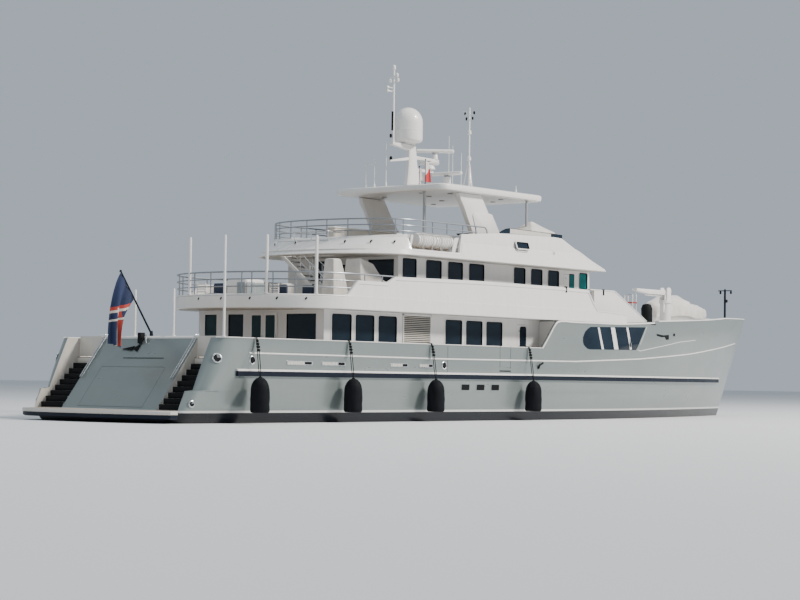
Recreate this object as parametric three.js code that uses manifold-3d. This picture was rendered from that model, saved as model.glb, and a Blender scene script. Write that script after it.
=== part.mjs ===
// Three-deck motor yacht, 53 m long, built as a 1:2 scale model.
// Every size below is that of the full-size yacht in metres.
// X points to the bow, Y to port and Z up; the origin is on the waterline, midships, on the centreline.
import * as THREE from 'three';
import { mergeVertices } from 'three/addons/utils/BufferGeometryUtils.js';
import Module from 'manifold-3d';

const wasm = await Module();
wasm.setup();

const MODEL_MM_PER_METRE = 500;

// Driving dimensions
const HALF_BEAM = 4.8;
const BOW_X = 26.4;
const PLATFORM_AFT_X = -26.6;
const MAIN_DECK_Z = 2.35;
const UPPER_DECK_Z = 5.0;
const SUN_DECK_Z = 7.6;
const HARDTOP_Z = 10.62;
const CAP_RAIL_Z = 3.42;
const UPPER_FASCIA_Z = 4.8;
const SUN_FASCIA_Z = 7.38;
const MAIN_HOUSE_HALF = 3.7;
const UPPER_HOUSE_HALF = 3.3;
const UPPER_DECK_HALF = 4.76;
const SUN_DECK_HALF = 4.3;
const HARDTOP_HALF = 3.4;

// Fits: SEAT keeps two touching pieces apart, RUN lets a moving piece pass
const SEAT = 0.0008;
const RUN = 0.012;
const WALL = 0.12;
const GLASS = 0.04;
const DECK_SHEET = 0.04;
const BULWARK = 0.16;
const STEM_HALF = 0.05;
const QUARTER_RADIUS = 0.6;

// Finishes
const finish = (color, roughness, metalness) => new THREE.MeshStandardMaterial({ color, roughness, metalness });
const MATERIAL = {
  hull: finish(0x8a9693, 0.35, 0.5),
  white: finish(0xe2dfdb, 0.35, 0.0),
  glass: finish(0x0c1622, 0.08, 0.2),
  teak: finish(0x9a8468, 0.7, 0.0),
  steel: finish(0xb9bdc1, 0.25, 0.9),
  navy: finish(0x161e30, 0.45, 0.1),
  black: finish(0x121416, 0.6, 0.0),
  canvas: finish(0xcfcac2, 0.9, 0.0),
  bronze: finish(0xa9824a, 0.35, 0.9)
};

const yacht = new THREE.Group();
yacht.scale.setScalar(MODEL_MM_PER_METRE);

// Solids and meshes
function bareGeometry(geometry) {
  const bare = geometry.clone();
  bare.deleteAttribute('normal');
  bare.deleteAttribute('uv');
  return mergeVertices(bare, 1e-5);
}

function solid(geometry) {
  const merged = bareGeometry(geometry);
  const vertProperties = Float32Array.from(merged.attributes.position.array);
  const triVerts = Uint32Array.from(merged.index.array);
  return new wasm.Manifold(new wasm.Mesh({ numProp: 3, vertProperties, triVerts }));
}

const join = (...solids) => solids.flat().reduce((whole, piece) => whole.add(piece));
const cut = (whole, ...tools) => tools.flat().reduce((left, tool) => left.subtract(tool), whole);

// Corners closer than this are one corner, and a face that it flattens is left out
const WELD = 2e-5;
function weldedGeometry(body) {
  const { vertProperties, triVerts } = body.getMesh();
  const loose = new THREE.BufferGeometry();
  loose.setAttribute('position', new THREE.BufferAttribute(vertProperties, 3));
  loose.setIndex(new THREE.BufferAttribute(triVerts, 1));
  const geometry = mergeVertices(loose, WELD);
  const corners = Array.from(geometry.index.array);
  const faces = [];
  for (let i = 0; i < corners.length; i += 3) {
    const face = corners.slice(i, i + 3);
    if (new Set(face).size === 3) faces.push(...face);
  }
  geometry.setIndex(faces);
  return geometry;
}

function place(name, material, body, parent = yacht) {
  const geometry = weldedGeometry(body);
  geometry.computeVertexNormals();
  const mesh = new THREE.Mesh(geometry, material);
  mesh.name = name;
  parent.add(mesh);
  return mesh;
}

// Basic shapes, each a closed solid
function box(x0, x1, y0, y1, z0, z1) {
  const geometry = new THREE.BoxGeometry(x1 - x0, y1 - y0, z1 - z0);
  geometry.translate((x0 + x1) / 2, (y0 + y1) / 2, (z0 + z1) / 2);
  return solid(geometry);
}

function extrusion(points, depth, matrix) {
  const shape = new THREE.Shape(points.map(([a, b]) => new THREE.Vector2(a, b)));
  const geometry = new THREE.ExtrudeGeometry(shape, { depth, bevelEnabled: false });
  return solid(geometry.applyMatrix4(matrix));
}

// An outline in plan (x, y), raised from z0 to z1
function slab(points, z0, z1) {
  return extrusion(points, z1 - z0, new THREE.Matrix4().makeTranslation(0, 0, z0));
}

// An outline in side view (x, z), stretched from y0 to y1
function sideways(points, y0, y1) {
  return extrusion(points, y1 - y0, new THREE.Matrix4().set(1, 0, 0, 0, 0, 0, -1, y1, 0, 1, 0, 0, 0, 0, 0, 1));
}

// An outline in end view (y, z), stretched from x0 to x1
function crosswise(points, x0, x1) {
  return extrusion(points, x1 - x0, new THREE.Matrix4().set(0, 0, 1, x0, 1, 0, 0, 0, 0, 1, 0, 0, 0, 0, 0, 1));
}

function cylinder(radius, from, to, sides = 8, endRadius = radius) {
  const start = new THREE.Vector3(...from);
  const end = new THREE.Vector3(...to);
  const axis = end.clone().sub(start);
  const geometry = new THREE.CylinderGeometry(endRadius, radius, axis.length(), sides);
  const turn = new THREE.Quaternion().setFromUnitVectors(new THREE.Vector3(0, 1, 0), axis.clone().normalize());
  geometry.applyQuaternion(turn);
  const middle = start.add(end).multiplyScalar(0.5);
  geometry.translate(middle.x, middle.y, middle.z);
  return solid(geometry);
}

// A turned shape: profile rows are radius and height, about a vertical axis
function turned(profile, x, y, sides = 16) {
  const geometry = new THREE.LatheGeometry(profile.map(([r, h]) => new THREE.Vector2(r, h)), sides);
  geometry.rotateX(Math.PI / 2);
  geometry.translate(x, y, 0);
  return solid(geometry);
}

// A skin between rings of points, one ring after another towards the bow.
// Each end is closed by strips between the first and last points, the second and last but one, and so on.
function loft(rings) {
  const count = rings[0].length;
  const position = rings.flat(2);
  const index = [];
  for (let i = 0; i + 1 < rings.length; i += 1) {
    for (let j = 0; j < count; j += 1) {
      const a = i * count + j;
      const b = i * count + (j + 1) % count;
      index.push(a, a + count, b, b, a + count, b + count);
    }
  }
  const last = (rings.length - 1) * count;
  for (let j = 0; j + 1 < count / 2; j += 1) {
    const far = count - 1 - j;
    index.push(j, far - 1, far, last + j, last + far, last + far - 1);
    if (j + 1 < far - 1) index.push(j, j + 1, far - 1, last + j, last + far - 1, last + j + 1);
  }
  const geometry = new THREE.BufferGeometry();
  geometry.setAttribute('position', new THREE.Float32BufferAttribute(position, 3));
  geometry.setIndex(index);
  return solid(geometry);
}

// A round bar that follows a row of points, mitred at each
function barAlong(points, radius, sides = 6) {
  const path = points.map(point => new THREE.Vector3(...point));
  const rings = path.map((point, i) => {
    const tangent = path[Math.min(i + 1, path.length - 1)].clone().sub(path[Math.max(i - 1, 0)]).normalize();
    const upright = Math.abs(tangent.z) > 0.9 ? new THREE.Vector3(1, 0, 0) : new THREE.Vector3(0, 0, 1);
    const across = tangent.clone().cross(upright).normalize();
    const along = across.clone().cross(tangent);
    return Array.from({ length: sides }, (_, k) => {
      const angle = (k * 2 * Math.PI) / sides;
      return point.clone()
        .addScaledVector(across, radius * Math.cos(angle))
        .addScaledVector(along, radius * Math.sin(angle))
        .toArray();
    });
  });
  return loft(rings);
}

function mirrored(body) {
  const { vertProperties, triVerts } = body.getMesh();
  const flipped = Float32Array.from(vertProperties, (value, i) => (i % 3 === 1 ? -value : value));
  const turnedFaces = Uint32Array.from(triVerts);
  for (let i = 0; i < turnedFaces.length; i += 3) {
    [turnedFaces[i + 1], turnedFaces[i + 2]] = [turnedFaces[i + 2], turnedFaces[i + 1]];
  }
  return new wasm.Manifold(new wasm.Mesh({ numProp: 3, vertProperties: flipped, triVerts: turnedFaces }));
}

const SIDES = [['starboard', -1], ['port', 1]];
const onSide = (side, body) => (side < 0 ? body : mirrored(body));

// Hull lines
// Columns: height, aft end, stem, half-breadth amidships and aft, end of the run, start of the entry, its power
const LEVEL_COLUMNS = ['z', 'aftX', 'stemX', 'midY', 'aftY', 'runX', 'entryX', 'power'];
const HULL_LEVELS = [
  [-2.80, -9.0, 20.6, 0.16, 0.12, -5.0, 8.0, 2.0],
  [-2.30, -12.5, 21.7, 2.40, 0.12, -1.0, -3.0, 1.5],
  [-1.50, -17.5, 22.4, 3.90, 0.14, -3.0, -3.0, 1.55],
  [-0.80, -22.0, 22.8, 4.40, 0.90, -6.0, -2.0, 1.6],
  [-0.35, -25.4, 23.0, 4.55, 3.30, -10.0, -1.5, 1.65],
  [0.50, -25.4, 23.5, 4.68, 4.40, -12.0, -0.5, 1.7],
  [1.28, -24.95, 23.9, 4.74, 4.60, -14.0, 0.5, 1.8],
  [1.32, -24.5, 23.95, 4.74, 4.62, -14.0, 0.5, 1.8],
  [MAIN_DECK_Z, -24.02, 24.5, HALF_BEAM, 4.72, -16.0, 1.5, 1.95]
].map(row => Object.fromEntries(row.map((value, i) => [LEVEL_COLUMNS[i], value])));

function halfBreadth(level, x) {
  const { aftX, stemX, midY, aftY, runX, entryX, power } = level;
  let y = midY;
  if (x < runX) y = aftY + (midY - aftY) * Math.sin((x - aftX) / (runX - aftX) * Math.PI / 2);
  if (x > entryX) y = STEM_HALF + (midY - STEM_HALF) * (1 - Math.min(1, (x - entryX) / (stemX - entryX)) ** power);
  const corner = Math.min(QUARTER_RADIUS, aftY - STEM_HALF);
  const turn = Math.min(1, (aftX + QUARTER_RADIUS - x) / QUARTER_RADIUS);
  if (turn > 0) y -= corner * (1 - Math.sqrt(1 - turn * turn));
  return y;
}

// Stations: first round the quarter, then evenly enough to the stem
const QUARTER_STEPS = [0, 0.1, 0.3, 0.6];
const LENGTH_STEPS = [0.08, 0.18, 0.3, 0.42, 0.52, 0.6, 0.68, 0.76, 0.83, 0.89, 0.94, 0.975, 1];
function stationXs(aftX, stemX) {
  const round = QUARTER_STEPS.map(step => aftX + step);
  const start = aftX + QUARTER_RADIUS;
  return [...round, ...LENGTH_STEPS.map(step => start + (stemX - start) * step)];
}

function hullLoft() {
  const rings = stationXs(0, 1).map((_, station) => {
    const starboard = HULL_LEVELS.map(level => {
      const x = stationXs(level.aftX, level.stemX)[station];
      return [x, -halfBreadth(level, x), level.z];
    });
    const port = starboard.map(([x, y, z]) => [x, -y, z]).reverse();
    return [...starboard, ...port];
  });
  return loft(rings);
}

// Stern: sloping transom between two quarter wings, with a stair on each side
const PLATFORM_TOP_Z = 0.5;
const TRANSOM_FOOT_X = -25.07;
const TRANSOM_RAKE = 0.8;
const TRANSOM_TOP_Z = 3.5;
const TRANSOM_HALF = 2.75;
const WING_INNER_Y = 4.02;
const STAIR_RISERS = 8;
const STAIR_GOING = 0.25;
const STAIR_START_X = -24.95;
const OUTSIDE_X = -28;
const transomX = z => TRANSOM_FOOT_X + TRANSOM_RAKE * (z - PLATFORM_TOP_Z);

function stairProfile() {
  const rise = (MAIN_DECK_Z - PLATFORM_TOP_Z) / STAIR_RISERS;
  const points = [[OUTSIDE_X, PLATFORM_TOP_Z]];
  for (let i = 0; i < STAIR_RISERS; i += 1) {
    points.push([STAIR_START_X + i * STAIR_GOING, PLATFORM_TOP_Z + i * rise]);
    points.push([STAIR_START_X + i * STAIR_GOING, PLATFORM_TOP_Z + (i + 1) * rise]);
  }
  points.pop();
  points.push([STAIR_START_X + (STAIR_RISERS - 1) * STAIR_GOING, MAIN_DECK_Z + 1], [OUTSIDE_X, MAIN_DECK_Z + 1]);
  return points;
}

function sternWell() {
  const slope = [
    [OUTSIDE_X, PLATFORM_TOP_Z],
    [TRANSOM_FOOT_X, PLATFORM_TOP_Z],
    [transomX(MAIN_DECK_Z + 1), MAIN_DECK_Z + 1],
    [OUTSIDE_X, MAIN_DECK_Z + 1]
  ];
  const middle = sideways(slope, -TRANSOM_HALF - 0.1, TRANSOM_HALF + 0.1);
  const stairs = SIDES.map(([, side]) => onSide(side, sideways(stairProfile(), -WING_INNER_Y, -TRANSOM_HALF)));
  return join(middle, stairs);
}

// Tender garage behind the transom door
const GARAGE_HALF = 1.75;
const GARAGE_FLOOR_Z = 0.72;
const GARAGE_TOP_Z = 2.12;
const GARAGE_FORE_X = -20.6;
const DOOR_THICK = 0.12;
const GARAGE_LAP = 0.12;

function garageBay() {
  const inside = box(-26, GARAGE_FORE_X, -GARAGE_HALF, GARAGE_HALF, GARAGE_FLOOR_Z, GARAGE_TOP_Z);
  return join(inside, doorSeat(0));
}

// The door lies in a rebate of the sloping transom; inset shrinks it to leave the running gap.
// Its top edge stands square to the slope, so that it turns clear about the pins beside that edge.
const SLOPE_LENGTH = Math.hypot(TRANSOM_RAKE, 1);
const DOWN_SLOPE = [-TRANSOM_RAKE / SLOPE_LENGTH, -1 / SLOPE_LENGTH];
const INTO_SLOPE = [1 / SLOPE_LENGTH, -TRANSOM_RAKE / SLOPE_LENGTH];
function besideSlope(z, down, into) {
  return [
    transomX(z) + down * DOWN_SLOPE[0] + into * INTO_SLOPE[0],
    z + down * DOWN_SLOPE[1] + into * INTO_SLOPE[1]
  ];
}

function doorSeat(inset) {
  const lap = GARAGE_LAP - inset;
  const low = GARAGE_FLOOR_Z - lap;
  const high = GARAGE_TOP_Z + lap;
  const outer = inset > 0 ? 0 : 0.3;
  const depth = (DOOR_THICK - inset) / SLOPE_LENGTH;
  const outline = [
    [transomX(low) - outer, low],
    [transomX(low) + depth * SLOPE_LENGTH, low],
    besideSlope(high, 0, depth),
    besideSlope(high, 0, -outer)
  ];
  return sideways(outline, -GARAGE_HALF - lap, GARAGE_HALF + lap);
}

// Underwater gear
const SHAFT_Y = 1.65;
const PROPELLER_X = -19.7;
const PROPELLER_Z = -1.95;
const PROPELLER_RADIUS = 0.78;
const RUDDER_X = -21.3;
const RUDDER_TOP_Z = -0.95;
const RUDDER_FOOT_Z = -2.6;
const STOCK_RADIUS = 0.11;
const STOCK_TOP_Z = 0.1;

// Each shaft runs out of the hull and through a bracket to its propeller
function shaftLine(side) {
  const y = side * SHAFT_Y;
  const end = PROPELLER_X + 0.2 + SEAT;
  const shaft = barAlong([[end, y, PROPELLER_Z], [end + 0.3, y, PROPELLER_Z], [-10.0, y, -1.6]], 0.09, 8);
  const bracket = box(-18.9, -18.5, y - 0.06, y + 0.06, PROPELLER_Z + 0.03, -0.5);
  return join(shaft, bracket);
}

const hullBody = cut(
  join(hullLoft(), SIDES.map(([, side]) => shaftLine(side))),
  sternWell(),
  garageBay(),
  SIDES.map(([, side]) => cylinder(STOCK_RADIUS + RUN, [RUDDER_X, side * SHAFT_Y, -2], [RUDDER_X, side * SHAFT_Y, STOCK_TOP_Z], 16))
);
place('hull', MATERIAL.hull, hullBody);

const TRANSOM_PIN_RADIUS = 0.02;
function transomHingePin() {
  const reach = GARAGE_HALF + GARAGE_LAP - SEAT;
  const [x, z] = besideSlope(GARAGE_TOP_Z + GARAGE_LAP - RUN, TRANSOM_PIN_RADIUS, TRANSOM_PIN_RADIUS);
  return cylinder(TRANSOM_PIN_RADIUS, [x, -reach, z], [x, reach, z], 8);
}
place('transom_door', MATERIAL.hull, join(doorSeat(RUN), transomHingePin()));

// Swim platform: curved aft edge, seated against the hull's aft end
function swimPlatform() {
  const fore = -25.4 - SEAT;
  const half = 4.3;
  const points = [[fore, -half]];
  const steps = 12;
  for (let i = 0; i <= steps; i += 1) {
    const y = -half + (2 * half * i) / steps;
    const bow = 1 - (y / half) ** 2;
    const round = Math.abs(y) > half - 0.01 ? 0.35 : 0;
    points.push([-26.05 + round + (PLATFORM_AFT_X + 26.05) * bow, y]);
  }
  points.push([fore, half]);
  return slab(points.reverse(), 0.16, PLATFORM_TOP_Z);
}
place('swim_platform', MATERIAL.teak, swimPlatform());

// Stern bulwark between the two stairs, with its awning poles
const STERN_WALL_X = -22.35;
const STERN_POLE_YS = [-1.3, 0.95];
function sternBulwark() {
  const outline = [
    [transomX(MAIN_DECK_Z) + 0.002, MAIN_DECK_Z + SEAT],
    [STERN_WALL_X, MAIN_DECK_Z + SEAT],
    [STERN_WALL_X, TRANSOM_TOP_Z],
    [transomX(TRANSOM_TOP_Z), TRANSOM_TOP_Z]
  ];
  const poles = STERN_POLE_YS.map(y => cylinder(0.05, [-22.5, y, TRANSOM_TOP_Z - 0.1], [-22.5, y, 5.45]));
  return join(sideways(outline, -TRANSOM_HALF, TRANSOM_HALF), poles);
}
place('stern_bulwark', MATERIAL.hull, sternBulwark());

// Side bulwarks from the quarter to the raised bow; the cap is part of each
const BULWARK_TOP = { aftX: -23.5, stemX: 26.4, midY: HALF_BEAM, aftY: 4.76, runX: -16, entryX: 3, power: 2.3 };
const DECK_LEVEL = HULL_LEVELS[HULL_LEVELS.length - 1];
const FORECASTLE_AFT_X = 0;
const BULWARK_RISE_X = -1.34;
const GATE = { aft: -4.84, fore: -3.97, sill: MAIN_DECK_Z + 0.1, swing: 0.036 };
const PIN_RADIUS = 0.02;
const GATE_HINGE = { x: GATE.fore - RUN - PIN_RADIUS, y: HALF_BEAM - BULWARK };

function sideStrip(xs, topAt, thick, cap) {
  const rings = xs.map(x => {
    const share = Math.max(0, x - BULWARK_TOP.aftX);
    const low = Math.max(x, DECK_LEVEL.aftX + 0.02);
    const outerLow = halfBreadth(DECK_LEVEL, low);
    const outerTop = share > 0 ? halfBreadth(BULWARK_TOP, x) : BULWARK_TOP.aftY - QUARTER_RADIUS;
    const top = topAt(x);
    const inner = Math.min(outerTop, outerLow) - thick;
    return [
      [x, -inner, MAIN_DECK_Z + SEAT],
      [x, -outerLow, MAIN_DECK_Z + SEAT],
      [x, -outerTop, top],
      [x, -inner + cap, top]
    ];
  });
  return loft(rings);
}

const BULWARK_XS = [-23.5, -23.4, -23.2, -22.9, -21, -18, -14, -9, -5, -1.34, -0.1];
const bulwarkTopAt = x => (x <= BULWARK_RISE_X ? CAP_RAIL_Z : CAP_RAIL_Z + (x - BULWARK_RISE_X) * 1.07);

// The free end of a gate is cut back so that it clears the bulwark as it swings inboard
function gateBox(inset, freeEnd = inset) {
  return box(GATE.aft + freeEnd, GATE.fore - inset, -6, -4, GATE.sill + inset, CAP_RAIL_Z + 1);
}

function gatePin() {
  const { x, y } = GATE_HINGE;
  return cylinder(PIN_RADIUS, [x, -y, GATE.sill + SEAT], [x, -y, GATE.sill + 0.2], 8);
}

// An awning pole stands on each quarter
const QUARTER_POLE = { x: -22.95, y: -4.68, top: 7.5 };
const quarterPole = cylinder(
  0.05, [QUARTER_POLE.x, QUARTER_POLE.y, CAP_RAIL_Z - 0.3], [QUARTER_POLE.x, QUARTER_POLE.y, QUARTER_POLE.top]
);

for (const [name, side] of SIDES) {
  const strip = sideStrip(BULWARK_XS, bulwarkTopAt, BULWARK, 0.02);
  place(`bulwark_${name}`, MATERIAL.hull, onSide(side, join(cut(strip, gateBox(0)), quarterPole)));
  place(`bulwark_gate_${name}`, MATERIAL.hull, onSide(side, join(strip.intersect(gateBox(RUN, GATE.swing)), gatePin())));
}

// Raised bow: full beam up to the upper deck, then a bulwark round the foredeck
const FOREDECK_Z = 4.75;
const FORE_WELL_X = 9.6;
const UPPER_DECK_FORE_X = 6.1;
const BOW_STATIONS = [FORECASTLE_AFT_X, 2, 4, 6, 8, 10, 12.5, 15, 17.5, 20, 22, 24, 25.2, 26, BOW_X];
const knuckleZ = x => CAP_RAIL_Z + Math.max(0, x - 3) * 0.068;
const BOW_TOP_POINTS = [[0, 4.8], [5.5, 4.83], [9.3, 5.0], [16.5, 5.3], [20, 5.5], [26.4, 5.66]];
const bowTopZ = x => heightAlong(BOW_TOP_POINTS, x);

const KNUCKLE_LEVEL = { aftX: -24, stemX: 26.1, midY: HALF_BEAM, aftY: 4.8, runX: -20, entryX: 3, power: 2.2 };
function forecastle() {
  const rows = [DECK_LEVEL, KNUCKLE_LEVEL, BULWARK_TOP];
  const zs = [() => MAIN_DECK_Z + SEAT, knuckleZ, bowTopZ];
  const rings = BOW_STATIONS.map(station => {
    const share = (station - FORECASTLE_AFT_X) / (BOW_X - FORECASTLE_AFT_X);
    const starboard = rows.map((row, i) => {
      const x = FORECASTLE_AFT_X + (row.stemX - FORECASTLE_AFT_X) * share;
      return [x, -halfBreadth(row, x), zs[i](x)];
    });
    const port = starboard.map(([x, y, z]) => [x, -y, z]).reverse();
    return [...starboard, ...port];
  });
  const upperDeckSeat = box(-1, UPPER_DECK_FORE_X + SEAT, -6, 6, UPPER_FASCIA_Z - SEAT, 9);
  return cut(loft(rings), foreWell(), upperDeckSeat);
}

function foreWell() {
  const steps = [FORE_WELL_X, 12, 15, 18, 20.5, 22.5, 24, 24.8];
  const starboard = steps.map(x => [x, -Math.max(0.2, halfBreadth(BULWARK_TOP, x) - 0.22)]);
  const port = starboard.map(([x, y]) => [x, -y]).reverse();
  return slab([...starboard, ...port], FOREDECK_Z, 8);
}
const forecastleBody = forecastle();
place('forecastle', MATERIAL.hull, forecastleBody);

// Rubbing strakes follow the hull sides
const STRAKE = { aft: -22.6, fore: 21.5, low: 1.9, high: 2.13, proud: 0.1 };
function hullSideAt(x, z) {
  const above = HULL_LEVELS.findIndex(level => level.z >= z);
  const low = HULL_LEVELS[above - 1];
  const high = HULL_LEVELS[above];
  const share = (z - low.z) / (high.z - low.z);
  return halfBreadth(low, x) * (1 - share) + halfBreadth(high, x) * share;
}

function strake() {
  const xs = [STRAKE.aft, -16, -8, 0, 4, 8, 11, 14, 16.5, 18.5, 20, STRAKE.fore];
  const rings = xs.map(x => {
    const outer = hullSideAt(x, STRAKE.high) + STRAKE.proud;
    const inner = outer - STRAKE.proud - 0.25;
    return [[x, -inner, STRAKE.low], [x, -outer, STRAKE.low], [x, -outer, STRAKE.high], [x, -inner, STRAKE.high]];
  });
  return loft(rings);
}
for (const [name, side] of SIDES) {
  const clearHull = hullBody.translate([0, side * SEAT * 2, 0]);
  place(`rubbing_strake_${name}`, MATERIAL.navy, cut(onSide(side, strake()), clearHull));
}

// Main deck: planking inside the bulwarks
function mainDeckSheet() {
  const inner = x => halfBreadth(DECK_LEVEL, Math.max(x, -23.3)) - BULWARK - 0.06;
  const xs = [STERN_WALL_X + SEAT, -20, -16, -10, -4, FORECASTLE_AFT_X - SEAT];
  const starboard = xs.map(x => [x, -inner(x)]);
  const port = starboard.map(([x, y]) => [x, -y]).reverse();
  return slab([...starboard, ...port], MAIN_DECK_Z + SEAT, MAIN_DECK_Z + DECK_SHEET);
}
place('main_deck', MATERIAL.teak, mainDeckSheet());

// A deckhouse is a ring of walls; its glazing is a thin ring just inside them
function ringWalls({ aft, fore, half, low, high, rake }, inset, thick) {
  const plan = (gap, z) => {
    const lean = rake * (z - low);
    return [[aft + gap, -half + gap, z], [fore - lean - gap, -half + gap, z], [fore - lean - gap, half - gap, z], [aft + gap, half - gap, z]];
  };
  const block = (gap, z0, z1) => {
    const bottom = plan(gap, z0);
    const top = plan(gap, z1);
    const rings = [
      [bottom[0], bottom[3], top[3], top[0]].map(([x, y, z]) => [x, y, z]),
      [bottom[1], bottom[2], top[2], top[1]].map(([x, y, z]) => [x, y, z])
    ].map(ring => ring.reverse());
    return loft(rings);
  };
  return cut(block(inset, low, high), block(inset + thick, low - 1, high + 1));
}

const MAIN_HOUSE = {
  aft: -16.1,
  fore: FORECASTLE_AFT_X - 0.02,
  half: MAIN_HOUSE_HALF,
  low: MAIN_DECK_Z + DECK_SHEET + SEAT,
  high: UPPER_FASCIA_Z - SEAT,
  rake: 0
};
// Windows of the main deck house. Columns: aft edge, forward edge, sill, head
const MAIN_WINDOWS = [
  [-15.59, -14.30, 3.3, 4.62],
  [-14.01, -12.75, 3.3, 4.62],
  [-12.44, -11.17, 3.3, 4.62],
  [-7.60, -6.35, 3.3, 4.6],
  [-6.02, -4.77, 3.3, 4.6],
  [-4.44, -3.18, 3.3, 4.6]
];
// Openings in the aft wall of the saloon. Columns: starboard edge, port edge, sill, head
const SALOON_WINDOWS = [[-3.25, -1.56, 2.75, 4.62], [0.99, 1.89, 2.75, 4.62], [2.61, 3.32, 2.75, 4.62]];
const SALOON_DOORWAY = { half: 0.79, middle: -0.24, head: 4.6 };
const SIDE_DOOR = { aft: -1.97, fore: -1.15, sill: 2.45, head: 4.55 };

function doorway(door, half, inset) {
  return box(door.aft + inset, door.fore - inset, -half - 0.3, -half + WALL + 0.3, door.sill + inset, door.head - inset);
}

// A hinged leaf: flush with the wall's outer face, turning on two pins at its aft edge
const LEAF_THICK = 0.06;
function hingedLeaf(door, half) {
  const leaf = box(door.aft + RUN, door.fore - RUN, -half, -half + LEAF_THICK, door.sill + RUN, door.head - RUN);
  const at = [door.aft + RUN + PIN_RADIUS, -half + PIN_RADIUS];
  return join(leaf, cylinder(PIN_RADIUS, [...at, door.sill + SEAT], [...at, door.head - SEAT]));
}

// The sliding leaves run on a low track along the foot of the aft wall
const TRACK = 0.05;
function slideTrack({ aft, low }, y0, y1) {
  return box(aft - 0.1, aft + 0.02, y0, y1, low, low + TRACK);
}

function windowBox([aft, fore, sill, head], half) {
  return box(aft, fore, -half - 0.5, -half + WALL + 0.05, sill, head);
}

const saloonDoorway = box(
  MAIN_HOUSE.aft - 1, MAIN_HOUSE.aft + 1,
  SALOON_DOORWAY.middle - SALOON_DOORWAY.half, SALOON_DOORWAY.middle + SALOON_DOORWAY.half,
  MAIN_HOUSE.low + TRACK, SALOON_DOORWAY.head
);
const saloonWindows = SALOON_WINDOWS.map(([y0, y1, z0, z1]) => box(MAIN_HOUSE.aft - 0.5, MAIN_HOUSE.aft + WALL + 0.05, y0, y1, z0, z1));
const bothSides = body => [body, mirrored(body)];

place('main_house', MATERIAL.white, cut(
  join(ringWalls(MAIN_HOUSE, 0, WALL), slideTrack(MAIN_HOUSE, -1.9, 1.45)),
  MAIN_WINDOWS.flatMap(row => bothSides(windowBox(row, MAIN_HOUSE_HALF))),
  saloonWindows,
  saloonDoorway,
  bothSides(doorway(SIDE_DOOR, MAIN_HOUSE_HALF, 0))
));
place('main_glazing', MATERIAL.glass, cut(
  ringWalls(MAIN_HOUSE, WALL + SEAT, GLASS),
  saloonDoorway,
  bothSides(doorway(SIDE_DOOR, MAIN_HOUSE_HALF, -0.08))
));

// Two glass leaves slide on the outside of the saloon's aft wall
const LEAF = { thick: 0.05, half: 0.4, high: SALOON_DOORWAY.head + 0.1 };
for (const [name, side] of SIDES) {
  const middle = SALOON_DOORWAY.middle + side * (LEAF.half + RUN / 2);
  place(`saloon_door_${name}`, MATERIAL.glass, box(
    MAIN_HOUSE.aft - RUN - LEAF.thick, MAIN_HOUSE.aft - RUN,
    middle - LEAF.half, middle + LEAF.half,
    MAIN_HOUSE.low + TRACK + SEAT, LEAF.high
  ));
  place(`side_door_${name}`, MATERIAL.white, onSide(side, hingedLeaf(SIDE_DOOR, MAIN_HOUSE_HALF)));
}

// Deck outlines with a rounded aft end: a superellipse between the side and the centreline
function deckOutline({ aft, corner, fore, half, power }, inset, foreInset = 0) {
  const steps = 8;
  const starboard = [[fore - foreInset, -half + inset]];
  for (let i = 0; i <= steps; i += 1) {
    const angle = (i / steps) * Math.PI / 2;
    const x = corner - (corner - aft - inset) * Math.sin(angle) ** (2 / power);
    const y = -(half - inset) * Math.cos(angle) ** (2 / power);
    starboard.push([x, i === steps ? 0 : y]);
  }
  const port = starboard.slice(0, -1).map(([x, y]) => [x, -y]).reverse();
  return [...starboard, ...port].reverse();
}

// Upper deck and its bulwark
const UPPER_PLAN = { aft: -18.9, corner: -15.3, fore: UPPER_DECK_FORE_X, half: UPPER_DECK_HALF, power: 2.05 };
const BAND = 0.16;
place('upper_deck', MATERIAL.white, slab(deckOutline(UPPER_PLAN, BAND + SEAT), UPPER_FASCIA_Z, UPPER_DECK_Z));

// Outline of the bulwark's top in side view
const UPPER_BAND_TOP = [
  [-30, 5.4], [-15.8, 5.4], [-15.1, 6.06], [-13.1, 6.06], [-12.55, 6.33], [-6, 6.42], [0, 6.42], [2.6, 6.38],
  [3.4, 5.4], [6.1, 5.3]
];
function bandUnderProfile(plan, thick, low, top) {
  const high = Math.max(...top.map(([, z]) => z)) + 1;
  const ring = cut(slab(deckOutline(plan, 0), low, high), slab(deckOutline(plan, thick, -1), low - 1, high + 1));
  const last = top[top.length - 1];
  const air = sideways([[-30, high + 1], ...top, [last[0] + 3, last[1]], [last[0] + 3, high + 1]].reverse(), -9, 9);
  return cut(ring, air);
}
place('upper_bulwark', MATERIAL.white, bandUnderProfile(UPPER_PLAN, BAND, UPPER_FASCIA_Z + SEAT, UPPER_BAND_TOP));

// A rail round a deck's aft end. Each bar has its height and the place where it ends on the sides;
// posts stand on the bulwark's top, at the given places on the sides and at every second point of the round end.
function deckRail(plan, bars, sidePosts, topAt) {
  const inset = BAND / 2;
  const roundEnd = deckOutline(plan, inset).filter(([x]) => x < plan.corner + 0.01);
  const runs = bars.map(({ z, endX }) => {
    const endY = outlineY(plan, inset, endX);
    const walk = [[endX, endY], ...roundEnd.filter(([x]) => x < endX - 0.01), [endX, -endY]];
    return barAlong(walk.map(([x, y]) => [x, y, z]), RAIL_RADIUS);
  });
  const feet = [
    ...roundEnd.filter(([x], i) => i % 2 === 0 && x < plan.corner - 0.1),
    ...sidePosts.flatMap(x => [-1, 1].map(side => [x, side * outlineY(plan, inset, x)]))
  ];
  const posts = feet.map(([x, y]) => cylinder(RAIL_RADIUS, [x, y, topAt(x) + 2.5 * SEAT], [x, y, bars[0].z], 6));
  return join(runs, posts);
}

const RAIL_RADIUS = 0.025;
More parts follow.
